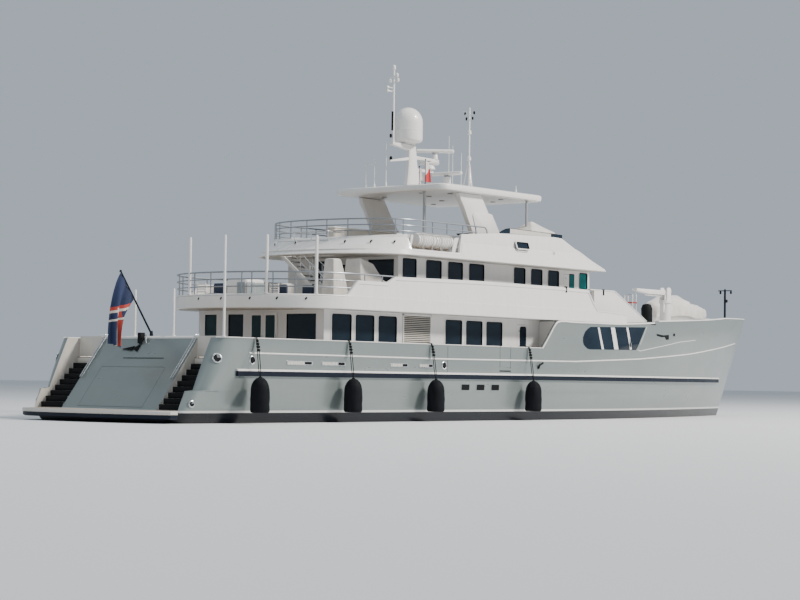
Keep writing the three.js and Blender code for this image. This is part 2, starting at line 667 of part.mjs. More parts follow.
// Height of an outline's top at x
function heightAlong(outline, x) {
  const next = Math.max(1, outline.findIndex(([at]) => at >= x));
  const [x0, z0] = outline[next - 1];
  const [x1, z1] = outline[next];
  return z0 + (z1 - z0) * (x - x0) / (x1 - x0);
}

// Where a deck's rounded end passes a given distance from the centreline
function outlineX({ aft, corner, half, power }, inset, y) {
  return corner - (corner - aft - inset) * (1 - (Math.abs(y) / (half - inset)) ** power) ** (1 / power);
}

// Half-breadth of a deck's edge, less the given distance, at x
function outlineY({ aft, corner, half, power }, inset, x) {
  const share = Math.max(0, corner - x) / (corner - aft - inset);
  return (half - inset) * (1 - share ** power) ** (1 / power);
}

const UPPER_BAND_Z = 5.4;
const AWNING_POLE_YS = [1.93, -2.41, -4.08];
const awningPoles = AWNING_POLE_YS.map(y => {
  const x = outlineX(UPPER_PLAN, BAND / 2, y);
  return cylinder(0.06, [x, y, UPPER_BAND_Z + SEAT], [x, y, 7.9]);
});
const UPPER_RAIL_BARS = [{ z: 6.33, endX: -12.64 }, { z: 6.02, endX: -15.19 }, { z: 5.71, endX: -15.52 }];
const UPPER_RAIL_POSTS = [-14.6, -13.4];
place('upper_rail', MATERIAL.steel, join(
  deckRail(UPPER_PLAN, UPPER_RAIL_BARS, UPPER_RAIL_POSTS, x => heightAlong(UPPER_BAND_TOP, x)),
  awningPoles
));

// Upper deck house with the wheelhouse at its front
const UPPER_HOUSE = {
  aft: -10.6,
  fore: 5.0,
  half: UPPER_HOUSE_HALF,
  low: UPPER_DECK_Z + SEAT,
  high: SUN_FASCIA_Z - SEAT,
  rake: 0.08
};
// Columns: aft edge, forward edge, sill, head
const UPPER_WINDOWS = [
  [-10.3, -9.3, 6.0, 7.3],
  [-8.58, -7.44, 6.0, 7.3],
  [-6.93, -5.81, 6.0, 7.3],
  [-5.31, -4.13, 6.0, 7.3],
  [-1.71, -0.77, 6.0, 7.3],
  [-0.28, 0.67, 6.0, 7.3],
  [1.18, 2.11, 6.0, 7.3],
  [3.91, 4.64, 6.5, 7.3]
];
const WHEELHOUSE_DOOR = { aft: 2.55, fore: 3.5, sill: UPPER_DECK_Z + 0.12, head: 7.2 };
const LOUNGE_DOORWAY = { starboard: -1.0, port: 0.3, head: 7.1 };
const FRONT_PANES = [[-3.05, -1.6], [-1.45, 0], [0.15, 1.6], [1.75, 3.05]].map(([a, b]) => [a, b]);

const loungeDoorway = box(
  UPPER_HOUSE.aft - 1, UPPER_HOUSE.aft + 1,
  LOUNGE_DOORWAY.starboard, LOUNGE_DOORWAY.port,
  UPPER_HOUSE.low + TRACK, LOUNGE_DOORWAY.head
);
const loungeWindows = [[-3.05, -1.55], [1.0, 3.05]].map(([a, b]) => (
  box(UPPER_HOUSE.aft - 0.5, UPPER_HOUSE.aft + WALL + 0.05, a, b, 5.5, 7.25)
));
const frontWindows = FRONT_PANES.map(([a, b]) => box(UPPER_HOUSE.fore - 1.2, UPPER_HOUSE.fore + 1, a, b, 6.15, 7.15));

place('upper_house', MATERIAL.white, cut(
  join(ringWalls(UPPER_HOUSE, 0, WALL), slideTrack(UPPER_HOUSE, -2.5, 0.45)),
  UPPER_WINDOWS.flatMap(row => bothSides(windowBox(row, UPPER_HOUSE_HALF))),
  loungeDoorway,
  loungeWindows,
  frontWindows,
  bothSides(doorway(WHEELHOUSE_DOOR, UPPER_HOUSE_HALF, 0))
));
place('upper_glazing', MATERIAL.glass, cut(
  ringWalls(UPPER_HOUSE, WALL + SEAT, GLASS),
  loungeDoorway,
  bothSides(doorway(WHEELHOUSE_DOOR, UPPER_HOUSE_HALF, -0.08))
));
place('lounge_door', MATERIAL.glass, box(
  UPPER_HOUSE.aft - RUN - LEAF.thick, UPPER_HOUSE.aft - RUN,
  LOUNGE_DOORWAY.starboard - 0.06, LOUNGE_DOORWAY.port + 0.06,
  UPPER_HOUSE.low + TRACK + SEAT, LOUNGE_DOORWAY.head + 0.08
));
for (const [name, side] of SIDES) {
  place(`wheelhouse_door_${name}`, MATERIAL.white, onSide(side, hingedLeaf(WHEELHOUSE_DOOR, UPPER_HOUSE_HALF)));
}

// Walkway breast wall in front of the wheelhouse, sloping down to the foredeck
function breastWall() {
  const fore = UPPER_DECK_FORE_X + SEAT;
  const outline = [[fore, 4.6], [9.3, 4.6], [9.3, 5.02], [7.3, 5.92], [6.3, 6.45], [fore, 6.45]];
  const wing = [[4.3, UPPER_DECK_Z + SEAT], [6.2, UPPER_DECK_Z + SEAT], [6.2, 6.45], [4.3, 6.45]];
  const front = sideways(outline, -3.95, 3.95);
  const wings = SIDES.map(([, side]) => onSide(side, sideways(wing, -3.95, -3.8)));
  return cut(join(front, wings), forecastleBody.translate([0, 0, SEAT * 2]));
}
place('breast_wall', MATERIAL.white, breastWall());

// Sun deck with its coaming; the brow slopes down over the wheelhouse
const SUN_PLAN = { aft: -13.55, corner: -10.75, fore: 4.85, half: SUN_DECK_HALF, power: 2.15 };
// The coaming leans inboard from the deck up to this outline
const COAMING_PLAN = { aft: -12.85, corner: -10.2, fore: 4.85, half: 4.04, power: 2.15 };
const COAMING_LEAN_Z = 8.2;

// Stair from the upper deck through an opening in the sun deck, rising to port
const STAIR = {
  aft: -12.6,
  fore: -11.8,
  foot: [-1.3, UPPER_DECK_Z + SEAT],
  head: [1.97, SUN_DECK_Z - 0.02],
  treads: 11
};
const stairOpening = box(
  STAIR.aft - 0.1, STAIR.fore + 0.1, STAIR.foot[0] + 0.4, STAIR.head[0] + SEAT, SUN_FASCIA_Z - 1, SUN_DECK_Z + 1
);
place('sun_deck', MATERIAL.white, cut(
  slab(deckOutline(SUN_PLAN, BAND + SEAT, 0.3), SUN_FASCIA_Z, SUN_DECK_Z),
  stairOpening
));

// The liferafts lie in a dip of the coaming on each side
const RAFT_DIP = { aft: -10.65, fore: -7.2, z: 7.68 };
const SUN_BAND_TOP = [
  [-30, 8.2], [-12.5, 8.2], [-10.75, 8.35], [RAFT_DIP.aft, RAFT_DIP.z], [RAFT_DIP.fore, RAFT_DIP.z], [-6.85, 8.57],
  [-3.9, 8.8], [0.7, 8.9], [2.3, 8.4], [3.9, 7.82], [4.85, 7.52]
];
function leaningBlock(inset, low, foreInset = 0) {
  const rings = [
    [SUN_PLAN, low],
    [SUN_PLAN, SUN_DECK_Z + SEAT],
    [COAMING_PLAN, COAMING_LEAN_Z],
    [COAMING_PLAN, 10]
  ].map(([plan, z]) => deckOutline(plan, inset, foreInset).map(([x, y]) => [x, y, z]).reverse());
  return loft(rings);
}

function sunCoaming() {
  const outer = leaningBlock(0, SUN_FASCIA_Z + SEAT);
  const inner = leaningBlock(BAND, SUN_FASCIA_Z - 1, -1);
  const last = SUN_BAND_TOP[SUN_BAND_TOP.length - 1];
  const air = sideways([[-30, 11], ...SUN_BAND_TOP, [last[0] + 3, last[1]], [last[0] + 3, 11]].reverse(), -9, 9);
  const front = 4.55 + SEAT * 2;
  const brow = [[0.4, SUN_DECK_Z + SEAT], [front, SUN_DECK_Z + SEAT], [front, SUN_FASCIA_Z + SEAT],
    [4.85, SUN_FASCIA_Z + SEAT], [4.85, 7.52], [3.9, 7.82], [2.3, 8.4], [0.7, 8.9], [0.4, 8.9]];
  const browBody = sideways(brow, -SUN_DECK_HALF, SUN_DECK_HALF).intersect(leaningBlock(0.02, SUN_FASCIA_Z));
  return join(cut(outer, inner, air), browBody);
}
place('sun_coaming', MATERIAL.white, sunCoaming());
const SUN_RAIL_BARS = [{ z: 9.0, endX: -5.05 }, { z: 8.73, endX: -5.6 }, { z: 8.47, endX: -10.9 }];
const SUN_RAIL_POSTS = [-10.9, -8.97, -6.7, -5.7];
const sunRailFoot = x => (x > RAFT_DIP.aft && x < RAFT_DIP.fore ? SUN_DECK_Z : heightAlong(SUN_BAND_TOP, x));
place('sun_rail', MATERIAL.steel, deckRail(COAMING_PLAN, SUN_RAIL_BARS, SUN_RAIL_POSTS, sunRailFoot));

// Hardtop on two broad legs, with a thin post near each corner
const HARDTOP = { aft: -7.4, fore: 0.75, thick: 0.33, corner: 0.5 };
const POSTS = [[-7.0, -1.9], [-7.0, 1.9], [-0.5, -3.15], [-0.5, 3.15]];
function roundedPlan(x0, x1, half, corner, steps = 3) {
  const points = [];
  const centres = [[x1 - corner, half - corner, 0], [x0 + corner, half - corner, 1], [x0 + corner, -half + corner, 2], [x1 - corner, -half + corner, 3]];
  for (const [cx, cy, quarter] of centres) {
    for (let i = 0; i <= steps; i += 1) {
      const angle = (quarter + i / steps) * Math.PI / 2;
      points.push([cx + corner * Math.cos(angle), cy + corner * Math.sin(angle)]);
    }
  }
  return points;
}
function hardtop() {
  const roof = slab(roundedPlan(HARDTOP.aft, HARDTOP.fore, HARDTOP_HALF, HARDTOP.corner), HARDTOP_Z, HARDTOP_Z + HARDTOP.thick);
  const crown = slab(roundedPlan(HARDTOP.aft + 0.5, HARDTOP.fore - 0.5, HARDTOP_HALF - 0.6, 0.4), HARDTOP_Z + 0.2, HARDTOP_Z + 0.42);
  const posts = POSTS.map(([x, y]) => cylinder(0.04, [x, y, SUN_DECK_Z + SEAT], [x, y, HARDTOP_Z + 0.1]));
  return join(roof, crown, posts);
}
place('hardtop', MATERIAL.white, hardtop());

const LEG = { y: 2.95, thick: 0.28 };
function hardtopLeg() {
  const outline = [
    [-4.2, SUN_DECK_Z + SEAT], [-2.3, SUN_DECK_Z + SEAT], [-2.65, 8.84], [-3.35, 9.6],
    [-4.1, HARDTOP_Z - SEAT], [-5.84, HARDTOP_Z - SEAT], [-5.45, 9.98], [-4.85, 9.0]
  ];
  return sideways(outline, -LEG.y - LEG.thick / 2, -LEG.y + LEG.thick / 2);
}
for (const [name, side] of SIDES) place(`hardtop_leg_${name}`, MATERIAL.white, onSide(side, hardtopLeg()));

// Mast on the hardtop, with arms for the radars and a light pole
const ROOF_Z = HARDTOP_Z + 0.42;
const MAST_X = -5.6;
const MAST_TOP_Z = 13.04;
const LIGHT_POLE_X = -7.0;
const RADARS = [
  { name: 'radar_upper', x: -3.76, z: 12.76, length: 1.85, turn: -50, arm: 12.5, radius: 0.14 },
  { name: 'radar_middle', x: -4.2, z: 12.14, length: 0.95, turn: -45, arm: 11.92, radius: 0.14 },
  { name: 'radar_lower', x: -2.78, z: 11.75, length: 1.7, turn: -85, arm: ROOF_Z + 0.12, radius: 0.2 }
];
function mast() {
  const column = sideways([
    [MAST_X - 0.45, ROOF_Z + SEAT], [MAST_X + 0.75, ROOF_Z + SEAT],
    [MAST_X + 0.25, MAST_TOP_Z], [MAST_X - 0.25, MAST_TOP_Z]
  ], -0.16, 0.16);
  const radomeArm = box(LIGHT_POLE_X - 0.15, MAST_X, -0.12, 0.12, MAST_TOP_Z - 0.13, MAST_TOP_Z);
  const sockets = RADARS.map(({ x, z, arm, radius }) => join(
    box(MAST_X, x + radius + 0.06, -0.12, 0.12, Math.max(arm - 0.1, ROOF_Z + SEAT), arm),
    cylinder(radius, [x, 0, arm - 0.05], [x, 0, z - SEAT], 10)
  ));
  const pole = cylinder(0.05, [LIGHT_POLE_X, 0, MAST_TOP_Z - 0.05], [LIGHT_POLE_X, 0, 16.6]);
  const crossBar = cylinder(0.03, [LIGHT_POLE_X, -0.25, 15.9], [LIGHT_POLE_X, 0.25, 15.9], 6);
  const lamp = cylinder(0.09, [LIGHT_POLE_X, 0, 16.5], [LIGHT_POLE_X, 0, 16.72]);
  return join(column, radomeArm, sockets, pole, crossBar, lamp);
}
place('mast', MATERIAL.white, mast());
place('radome', MATERIAL.white, turned([
  [0, MAST_TOP_Z + SEAT], [0.42, MAST_TOP_Z + SEAT], [0.42, 13.18], [0.62, 13.36], [0.7, 13.75], [0.7, 14.08], [0.6, 14.43],
  [0.38, 14.69], [0, 14.81]
], -5.88, 0));
for (const { name, x, z, length, turn } of RADARS) {
  const hub = cylinder(0.13, [0, 0, 0], [0, 0, 0.08], 10);
  const bar = box(-length / 2, length / 2, -0.07, 0.07, 0.06, 0.2);
  const mesh = place(name, MATERIAL.white, join(hub, bar));
  mesh.position.set(x, 0, z);
  mesh.rotation.z = THREE.MathUtils.degToRad(turn);
}

// Instrument mast: a pole on three legs with a cross-arm and wind sensor
const INSTRUMENT_X = -1.0;
function instrumentMast() {
  const pole = cylinder(0.04, [INSTRUMENT_X, 0, ROOF_Z + SEAT], [INSTRUMENT_X, 0, 15.35]);
  const legs = [0, 1, 2].map(i => {
    const angle = (i * 2 * Math.PI) / 3;
    return cylinder(0.025, [INSTRUMENT_X + 0.35 * Math.cos(angle), 0.35 * Math.sin(angle), ROOF_Z + SEAT], [INSTRUMENT_X, 0, 12.6], 6);
  });
  const arm = cylinder(0.025, [INSTRUMENT_X, -0.3, 15.0], [INSTRUMENT_X, 0.3, 15.0], 6);
  const lights = [12.7, 14.0].map(z => cylinder(0.1, [INSTRUMENT_X, 0, z], [INSTRUMENT_X, 0, z + 0.22], 8));
  const underRoof = box(INSTRUMENT_X - 1, INSTRUMENT_X + 1, -1, 1, 10, ROOF_Z + SEAT);
  return cut(join(pole, legs, arm, lights), underRoof);
}
place('instrument_mast', MATERIAL.white, instrumentMast());

function deckStair() {
  const { aft, fore, foot, head, treads } = STAIR;
  const stringer = [foot, [foot[0] + 0.25, foot[1]], [head[0], head[1] - 0.2], head];
  const cheeks = [aft, fore].map(x => crosswise(stringer, x - 0.03, x + 0.03));
  const steps = [];
  for (let i = 1; i <= treads; i += 1) {
    const share = i / (treads + 1);
    const y = foot[0] + (head[0] - foot[0]) * share;
    const z = foot[1] + (head[1] - foot[1]) * share;
    steps.push(box(aft, fore, y, y + 0.25, z - 0.02, z + 0.02));
  }
  return join(cheeks, steps);
}
place('deck_stair', MATERIAL.steel, deckStair());

// Flagstaff leaning aft from the stern bulwark, and the ensign on it
const STAFF = { foot: [-22.5, 0.2, TRANSOM_TOP_Z + 0.1], head: [-24.3, 0.2, 6.1] };
place('flagstaff', MATERIAL.navy, join(
  cylinder(0.04, STAFF.foot, STAFF.head),
  cylinder(0.07, [STAFF.foot[0], 0.2, TRANSOM_TOP_Z + SEAT], [STAFF.foot[0], 0.2, TRANSOM_TOP_Z + 0.22])
));
function ensign() {
  const [footX, , footZ] = STAFF.foot;
  const [headX, , headZ] = STAFF.head;
  const onStaff = share => [footX + (headX - footX) * share, footZ + (headZ - footZ) * share];
  const outline = [onStaff(0.98), onStaff(0.55), [-23.6, 4.2], [-23.5, 3.4], [-23.95, 2.6], [-24.5, 2.5], [-24.9, 3.4], [-24.75, 4.8]];
  return sideways(outline.reverse(), 0.15, 0.25);
}
place('ensign', MATERIAL.navy, cut(ensign(), cylinder(0.042, [STAFF.foot[0] + 0.36, 0.2, STAFF.foot[2] - 0.5], [-24.66, 0.2, 6.6])));

// Fenders on the starboard side, each hanging on its rope from the cap
const FENDER_XS = [-21.8, -16.0, -10.3, -2.8];
const ROPE_RADIUS = 0.02;
FENDER_XS.forEach((x, i) => {
  const y = -HALF_BEAM - 0.5;
  const body = turned([[0, 0.5], [0.16, 0.52], [0.34, 0.72], [0.36, 0.9], [0.36, 1.45], [0.34, 1.62], [0.16, 1.82], [0, 1.84]], x, y, 12);
  const onCap = CAP_RAIL_Z + ROPE_RADIUS * Math.cos(Math.PI / 6) + SEAT;
  const rope = barAlong([[x, y, 1.8], [x, -HALF_BEAM - 0.05, onCap], [x, -HALF_BEAM + 0.14, onCap]], ROPE_RADIUS);
  place(`fender_${i + 1}`, MATERIAL.black, join(body, rope));
});

// Liferaft canisters in a cradle on the sun deck's side, two on each side
function liferafts() {
  const canisters = [-9.85, -8.1].map(x => cylinder(0.32, [x - 0.75, -3.6, 8.15], [x + 0.75, -3.6, 8.15], 12));
  const cradle = [-10.2, -9.5, -8.45, -7.75].map(x => box(x - 0.04, x + 0.04, -3.95, -3.25, SUN_DECK_Z + SEAT, 8.0));
  const runner = box(-10.3, -7.65, -3.7, -3.5, SUN_DECK_Z + SEAT, 7.72);
  return join(canisters, cradle, runner);
}
for (const [name, side] of SIDES) place(`liferafts_${name}`, MATERIAL.white, onSide(side, liferafts()));

// Sun deck helm console with a low windscreen
place('helm_console', MATERIAL.white, sideways([[-1.6, SUN_DECK_Z + SEAT], [0.3, SUN_DECK_Z + SEAT], [0.3, 9.0], [-0.4, 9.2], [-1.6, 8.7]], -1.5, 1.5));

// Foredeck: covered tender, crane, foremast, windlass
const CRANE = { x: 13.8, y: -2.3, pivotZ: 6.72 };
function tender() {
  const rows = [
    [15.9, 0.5, 5.1, 6.25], [16.5, 0.9, 4.98, 6.5], [17.3, 1.05, 4.95, 6.8], [18.5, 1.05, 4.95, 6.8], [19.2, 1.0, 4.97, 6.45],
    [20.4, 0.75, 5.05, 6.38], [21.5, 0.35, 5.4, 6.2], [21.9, 0.08, 5.7, 6.05]
  ];
  const rings = rows.map(([x, half, low, high]) => {
    const starboard = [[x, -half * 0.35, low], [x, -half, low + (high - low) * 0.45], [x, -half * 0.92, high - 0.25], [x, -half * 0.2, high]];
    return [...starboard, ...starboard.map(([a, b, c]) => [a, -b, c]).reverse()];
  });
  const chocks = [17.2, 20.2].map(x => box(x - 0.08, x + 0.08, -0.6, 0.6, FOREDECK_Z + SEAT, 5.3));
  return join(loft(rings), chocks);
}
place('tender', MATERIAL.canvas, tender());
// The crane's column turns on the deck; its boom luffs on a pin between two ears
const BOOM = { half: 0.15, low: 6.6, high: 6.84, tip: 6.72, tail: 0.3, reach: 3.1, pin: 0.06 };
function craneColumn() {
  const ears = [-1, 1].map(side => {
    const inner = CRANE.y + side * (BOOM.half + RUN);
    const outer = CRANE.y + side * (BOOM.half + RUN + 0.08);
    return box(CRANE.x - 0.2, CRANE.x + 0.2, Math.min(inner, outer), Math.max(inner, outer), 6.2, 7.0);
  });
  const head = box(CRANE.x - 0.28, CRANE.x + 0.28, CRANE.y - 0.28, CRANE.y + 0.28, 6.1, 6.3);
  const post = cylinder(0.3, [CRANE.x, CRANE.y, FOREDECK_Z + SEAT], [CRANE.x, CRANE.y, 6.15], 12);
  const hole = pinAcross((BOOM.pin + SEAT / 2) / Math.cos(Math.PI / 24), 0.5);
  return cut(join(post, head, ears), hole);
}

function pinAcross(radius, reach) {
  return cylinder(radius, [CRANE.x, CRANE.y - reach, CRANE.pivotZ], [CRANE.x, CRANE.y + reach, CRANE.pivotZ], 24);
}

function craneBoom() {
  const arm = sideways([
    [CRANE.x - BOOM.reach, BOOM.tip], [CRANE.x - 2, BOOM.low], [CRANE.x + BOOM.tail, BOOM.low],
    [CRANE.x + BOOM.tail, BOOM.high], [CRANE.x - BOOM.reach, BOOM.high]
  ], CRANE.y - BOOM.half, CRANE.y + BOOM.half);
  return join(arm, pinAcross(BOOM.pin, BOOM.half + 0.09));
}
place('crane_column', MATERIAL.white, craneColumn());
place('crane_boom', MATERIAL.white, craneBoom());
place('foremast', MATERIAL.navy, join(
  cylinder(0.06, [24.2, 0, FOREDECK_Z + SEAT], [24.2, 0, 7.4]),
  cylinder(0.05, [24.2, -0.45, 7.3], [24.2, 0.45, 7.3], 6)
));
place('windlass', MATERIAL.steel, join(
  box(22.6, 23.5, -0.5, 0.5, FOREDECK_Z + SEAT, 4.95),
  cylinder(0.2, [23.05, -0.6, 5.15], [23.05, 0.6, 5.15], 12),
  box(22.85, 23.25, -0.4, 0.4, 4.9, 5.15)
));

// Propellers and rudders
function propeller() {
  const hub = cylinder(0.14, [-0.25, 0, 0], [0.2, 0, 0], 12);
  const blades = [0, 1, 2, 3].map(i => {
    const blade = new THREE.BoxGeometry(0.05, 0.42, PROPELLER_RADIUS - 0.05);
    blade.translate(0, 0, (PROPELLER_RADIUS + 0.05) / 2);
    blade.rotateZ(THREE.MathUtils.degToRad(35));
    blade.rotateX((i * Math.PI) / 2);
    return solid(blade);
  });
  return join(hub, blades);
}
for (const [name, side] of SIDES) {
  const y = side * SHAFT_Y;
  const screw = place(`propeller_${name}`, MATERIAL.bronze, propeller());
  screw.position.set(PROPELLER_X, y, PROPELLER_Z);
  const blade = [[RUDDER_X - 0.75, RUDDER_FOOT_Z], [RUDDER_X + 0.35, RUDDER_FOOT_Z], [RUDDER_X + 0.35, RUDDER_TOP_Z], [RUDDER_X - 0.65, RUDDER_TOP_Z]];
  place(`rudder_${name}`, MATERIAL.steel, join(
    sideways(blade, y - 0.08, y + 0.08),
    cylinder(STOCK_RADIUS, [RUDDER_X, y, RUDDER_TOP_Z - 0.2], [RUDDER_X, y, STOCK_TOP_Z - SEAT], 12)
  ));
}

export default yacht;
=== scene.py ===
"""Three-deck motor yacht at 1:2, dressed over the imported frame.

Sizes in the tables are full-size metres, like those of the part; K turns them into model metres.
X points to the bow, Y to port, Z up from the waterline.
"""

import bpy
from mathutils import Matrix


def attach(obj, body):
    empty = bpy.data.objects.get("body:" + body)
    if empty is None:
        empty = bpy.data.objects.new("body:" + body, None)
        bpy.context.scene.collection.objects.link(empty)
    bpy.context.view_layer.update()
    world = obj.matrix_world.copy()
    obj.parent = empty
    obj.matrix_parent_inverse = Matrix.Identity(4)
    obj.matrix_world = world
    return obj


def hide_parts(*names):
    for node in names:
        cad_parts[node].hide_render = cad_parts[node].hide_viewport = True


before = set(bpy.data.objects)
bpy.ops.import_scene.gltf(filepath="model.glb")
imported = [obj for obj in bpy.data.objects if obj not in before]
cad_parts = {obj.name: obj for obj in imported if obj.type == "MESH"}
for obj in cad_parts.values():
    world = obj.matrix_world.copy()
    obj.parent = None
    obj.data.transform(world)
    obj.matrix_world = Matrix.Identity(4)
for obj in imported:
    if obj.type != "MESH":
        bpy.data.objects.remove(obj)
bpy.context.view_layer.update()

import math

import bmesh
import bpy
import numpy as np
from mathutils import Matrix, Vector

K = 0.5
FIELD = bpy.context.scene.collection
SIDES = (("starboard", -1), ("port", 1))
AHEAD, PORT, UP = Vector((1, 0, 0)), Vector((0, 1, 0)), Vector((0, 0, 1))

# Materials


class Finish:
    """A node material built from object coordinates."""

    def __init__(self, name, metallic=0.0, coat=0.0, sheen=0.0, specular=0.5):
        self.mat = bpy.data.materials.new(name)
        self.mat.use_nodes = True
        self.tree = self.mat.node_tree
        self.shader = self.tree.nodes["Principled BSDF"]
        for socket, value in (("Metallic", metallic), ("Coat Weight", coat), ("Sheen Weight", sheen),
                              ("IOR", 1.5), ("Specular IOR Level", specular)):
            self.shader.inputs[socket].default_value = value
        self.where = self.add("ShaderNodeTexCoord").outputs["Object"]
        self.x, self.y, self.z = self.add("ShaderNodeSeparateXYZ", Vector=self.where).outputs

    def feed(self, socket, value):
        if isinstance(value, bpy.types.NodeSocket):
            self.tree.links.new(value, socket)
        elif isinstance(value, (tuple, list)) and socket.type == "RGBA" and len(value) == 3:
            socket.default_value = (*value, 1)
        else:
            socket.default_value = value

    def add(self, kind, settings=(), **inputs):
        node = self.tree.nodes.new(kind)
        for key, value in settings:
            setattr(node, key, value)
        for key, value in inputs.items():
            self.feed(node.inputs[key.replace("_", " ")], value)
        return node

    def calc(self, operation, *values):
        node = self.add("ShaderNodeMath", [("operation", operation)])
        for socket, value in zip(node.inputs, values):
            self.feed(socket, value)
        return node.outputs[0]

    def above(self, value, edge, soft=0.002):
        node = self.add("ShaderNodeMapRange", [("interpolation_type", "SMOOTHSTEP")])
        for socket, number in zip(node.inputs, (value, edge - soft, edge + soft, 0.0, 1.0)):
            self.feed(socket, number)
        return node.outputs[0]

    def noise(self, scale, stretch=(1, 1, 1), detail=3.0, roughness=0.55):
        mapped = self.add("ShaderNodeMapping", Vector=self.where, Scale=stretch).outputs[0]
        node = self.add("ShaderNodeTexNoise", Vector=mapped, Scale=scale, Detail=detail, Roughness=roughness)
        return node.outputs["Fac"]

    def blend(self, factor, a, b):
        node = self.add("ShaderNodeMix", [("data_type", "RGBA")])
        for index, value in ((0, factor), (6, a), (7, b)):
            self.feed(node.inputs[index], value)
        return node.outputs[2]

    def spread(self, value, low, high):
        node = self.add("ShaderNodeMapRange")
        for socket, number in zip(node.inputs, (value, 0.3, 0.7, low, high)):
            self.feed(socket, number)
        return node.outputs[0]

    def shade(self, color, roughness, height=None, bump=0.2, distance=0.01):
        self.feed(self.shader.inputs["Base Color"], color)
        self.feed(self.shader.inputs["Roughness"], roughness)
        if height is not None:
            node = self.add("ShaderNodeBump", Strength=bump, Distance=distance, Height=height)
            self.tree.links.new(node.outputs[0], self.shader.inputs["Normal"])
        return self.mat


def painted(name, color, dirt, roughness=0.3, metallic=0.0, coat=0.3, streak=0.25, ripple=0.05, specular=0.5):
    """Gloss paint: cloudy shade, rain streaks, fine orange peel."""
    f = Finish(name, metallic, coat, specular=specular)
    clouds = f.noise(1.1, (0.5, 0.5, 1.0))
    streaks = f.noise(7.0, (1.0, 1.0, 0.08), 5.0, 0.7)
    worn = f.calc("MULTIPLY", f.spread(streaks, 0.0, 1.0), streak)
    tone = f.blend(f.calc("ADD", f.calc("MULTIPLY", clouds, 0.18), worn), color, dirt)
    rough = f.calc("ADD", f.spread(clouds, roughness * 0.8, roughness * 1.15), f.calc("MULTIPLY", worn, 0.3))
    return f.shade(tone, rough, f.noise(2.2, (0.35, 0.35, 1.0), 2.0), ripple, 0.02)


def hull_paint():
    """Grey-green metallic topsides over a white line and a dark boot top."""
    f = Finish("hull_paint", 0.35, 0.15)
    clouds = f.noise(0.8, (0.35, 0.6, 1.2))
    streaks = f.noise(6.0, (1.0, 1.0, 0.06), 5.0, 0.7)
    green = f.blend(f.spread(clouds, 0.0, 1.0), (0.222, 0.258, 0.252), (0.258, 0.294, 0.284))
    green = f.blend(f.calc("MULTIPLY", f.spread(streaks, 0.0, 1.0), 0.1), green, (0.15, 0.18, 0.175))
    line = f.blend(f.above(f.z, 0.51 * K), (0.72, 0.72, 0.7), green)
    zones = f.blend(f.above(f.z, 0.42 * K), (0.004, 0.006, 0.011), line)
    rough = f.spread(f.noise(3.0, (0.3, 0.3, 1.0)), 0.27, 0.32)
    return f.shade(zones, rough, f.noise(0.9, (0.3, 0.3, 0.8), 1.0), 0.03, 0.05)


def planks(f, width, edge, dark, light):
    """Planks along the deck with dark caulking, each a little different: colour, grain and seams."""
    across = f.calc("DIVIDE", f.y, width * K)
    seam = f.above(f.calc("ABSOLUTE", f.calc("SUBTRACT", f.calc("FRACT", across), 0.5)), edge, 0.03)
    tint = f.add("ShaderNodeTexWhiteNoise", [("noise_dimensions", "1D")],
                 W=f.calc("FLOOR", across)).outputs[0]
    grain = f.noise(60.0, (0.06, 1.0, 1.0), 6.0, 0.7)
    wood = f.blend(f.calc("ADD", f.calc("MULTIPLY", tint, 0.5), f.calc("MULTIPLY", grain, 0.5)), dark, light)
    return f.blend(seam, wood, (0.03, 0.028, 0.026)), grain, seam


def teak():
    """Narrow planks of the main deck, the stairs and the platform."""
    f = Finish("teak")
    color, grain, seam = planks(f, 0.06, 0.45, (0.33, 0.24, 0.16), (0.5, 0.4, 0.29))
    return f.shade(color, f.spread(grain, 0.6, 0.8), f.calc("SUBTRACT", grain, seam), 0.3, 0.004)


def glass(name, color, painted_reflection):
    """Tinted glazing: near black, a faint cloud of painted reflection, slight waviness."""
    f = Finish(name, specular=0.22)
    cloud = f.noise(1.6, (0.7, 0.7, 1.4))
    # The base colour clouds towards a lighter tint: a painted reflection.
    return f.shade(f.blend(f.spread(cloud, 0.0, 1.0), color, painted_reflection), f.spread(f.noise(9.0), 0.03, 0.07),
                   f.noise(1.2), 0.05, 0.02)


def metal(name, color, roughness=0.18):
    """Brushed metal, duller where the brushing shows."""
    f = Finish(name, 1.0)
    brushed = f.noise(40.0, (1.0, 1.0, 0.2), 4.0)
    return f.shade(f.blend(f.spread(brushed, 0.0, 0.6), color, tuple(c * 0.72 for c in color)),
                   f.spread(brushed, roughness, roughness * 1.9), brushed, 0.05, 0.002)


def cloth(name, color, painted_fold_shade):
    """Woven cover: crossing threads, soft crumples, and painted shade in patches that follow the crumples."""
    f = Finish(name, sheen=0.3)
    weave = 420.0
    warp = f.calc("SINE", f.calc("MULTIPLY", f.calc("ADD", f.x, f.z), weave))
    weft = f.calc("SINE", f.calc("MULTIPLY", f.calc("SUBTRACT", f.y, f.z), weave))
    threads = f.calc("MULTIPLY", warp, weft)
    folds = f.noise(5.0, (1, 1, 0.6), 5.0, 0.6)
    height = f.calc("ADD", f.calc("MULTIPLY", threads, 0.04), folds)
    # Where the crumple noise is high the colour is darkened towards the second colour: painted shade.
    return f.shade(f.blend(f.spread(folds, 0.0, 0.8), color, painted_fold_shade), 0.85, height, 0.35, 0.03)


def rubber():
    """Black knitted fender cover, creased lengthwise."""
    f = Finish("fender_black", specular=0.12)
    folds = f.noise(9.0, (1, 1, 0.35), 5.0)
    return f.shade(f.blend(f.spread(folds, 0.0, 1.0), (0.003, 0.0035, 0.005), (0.009, 0.01, 0.013)),
                   f.spread(folds, 0.6, 0.9), folds, 0.5, 0.02)


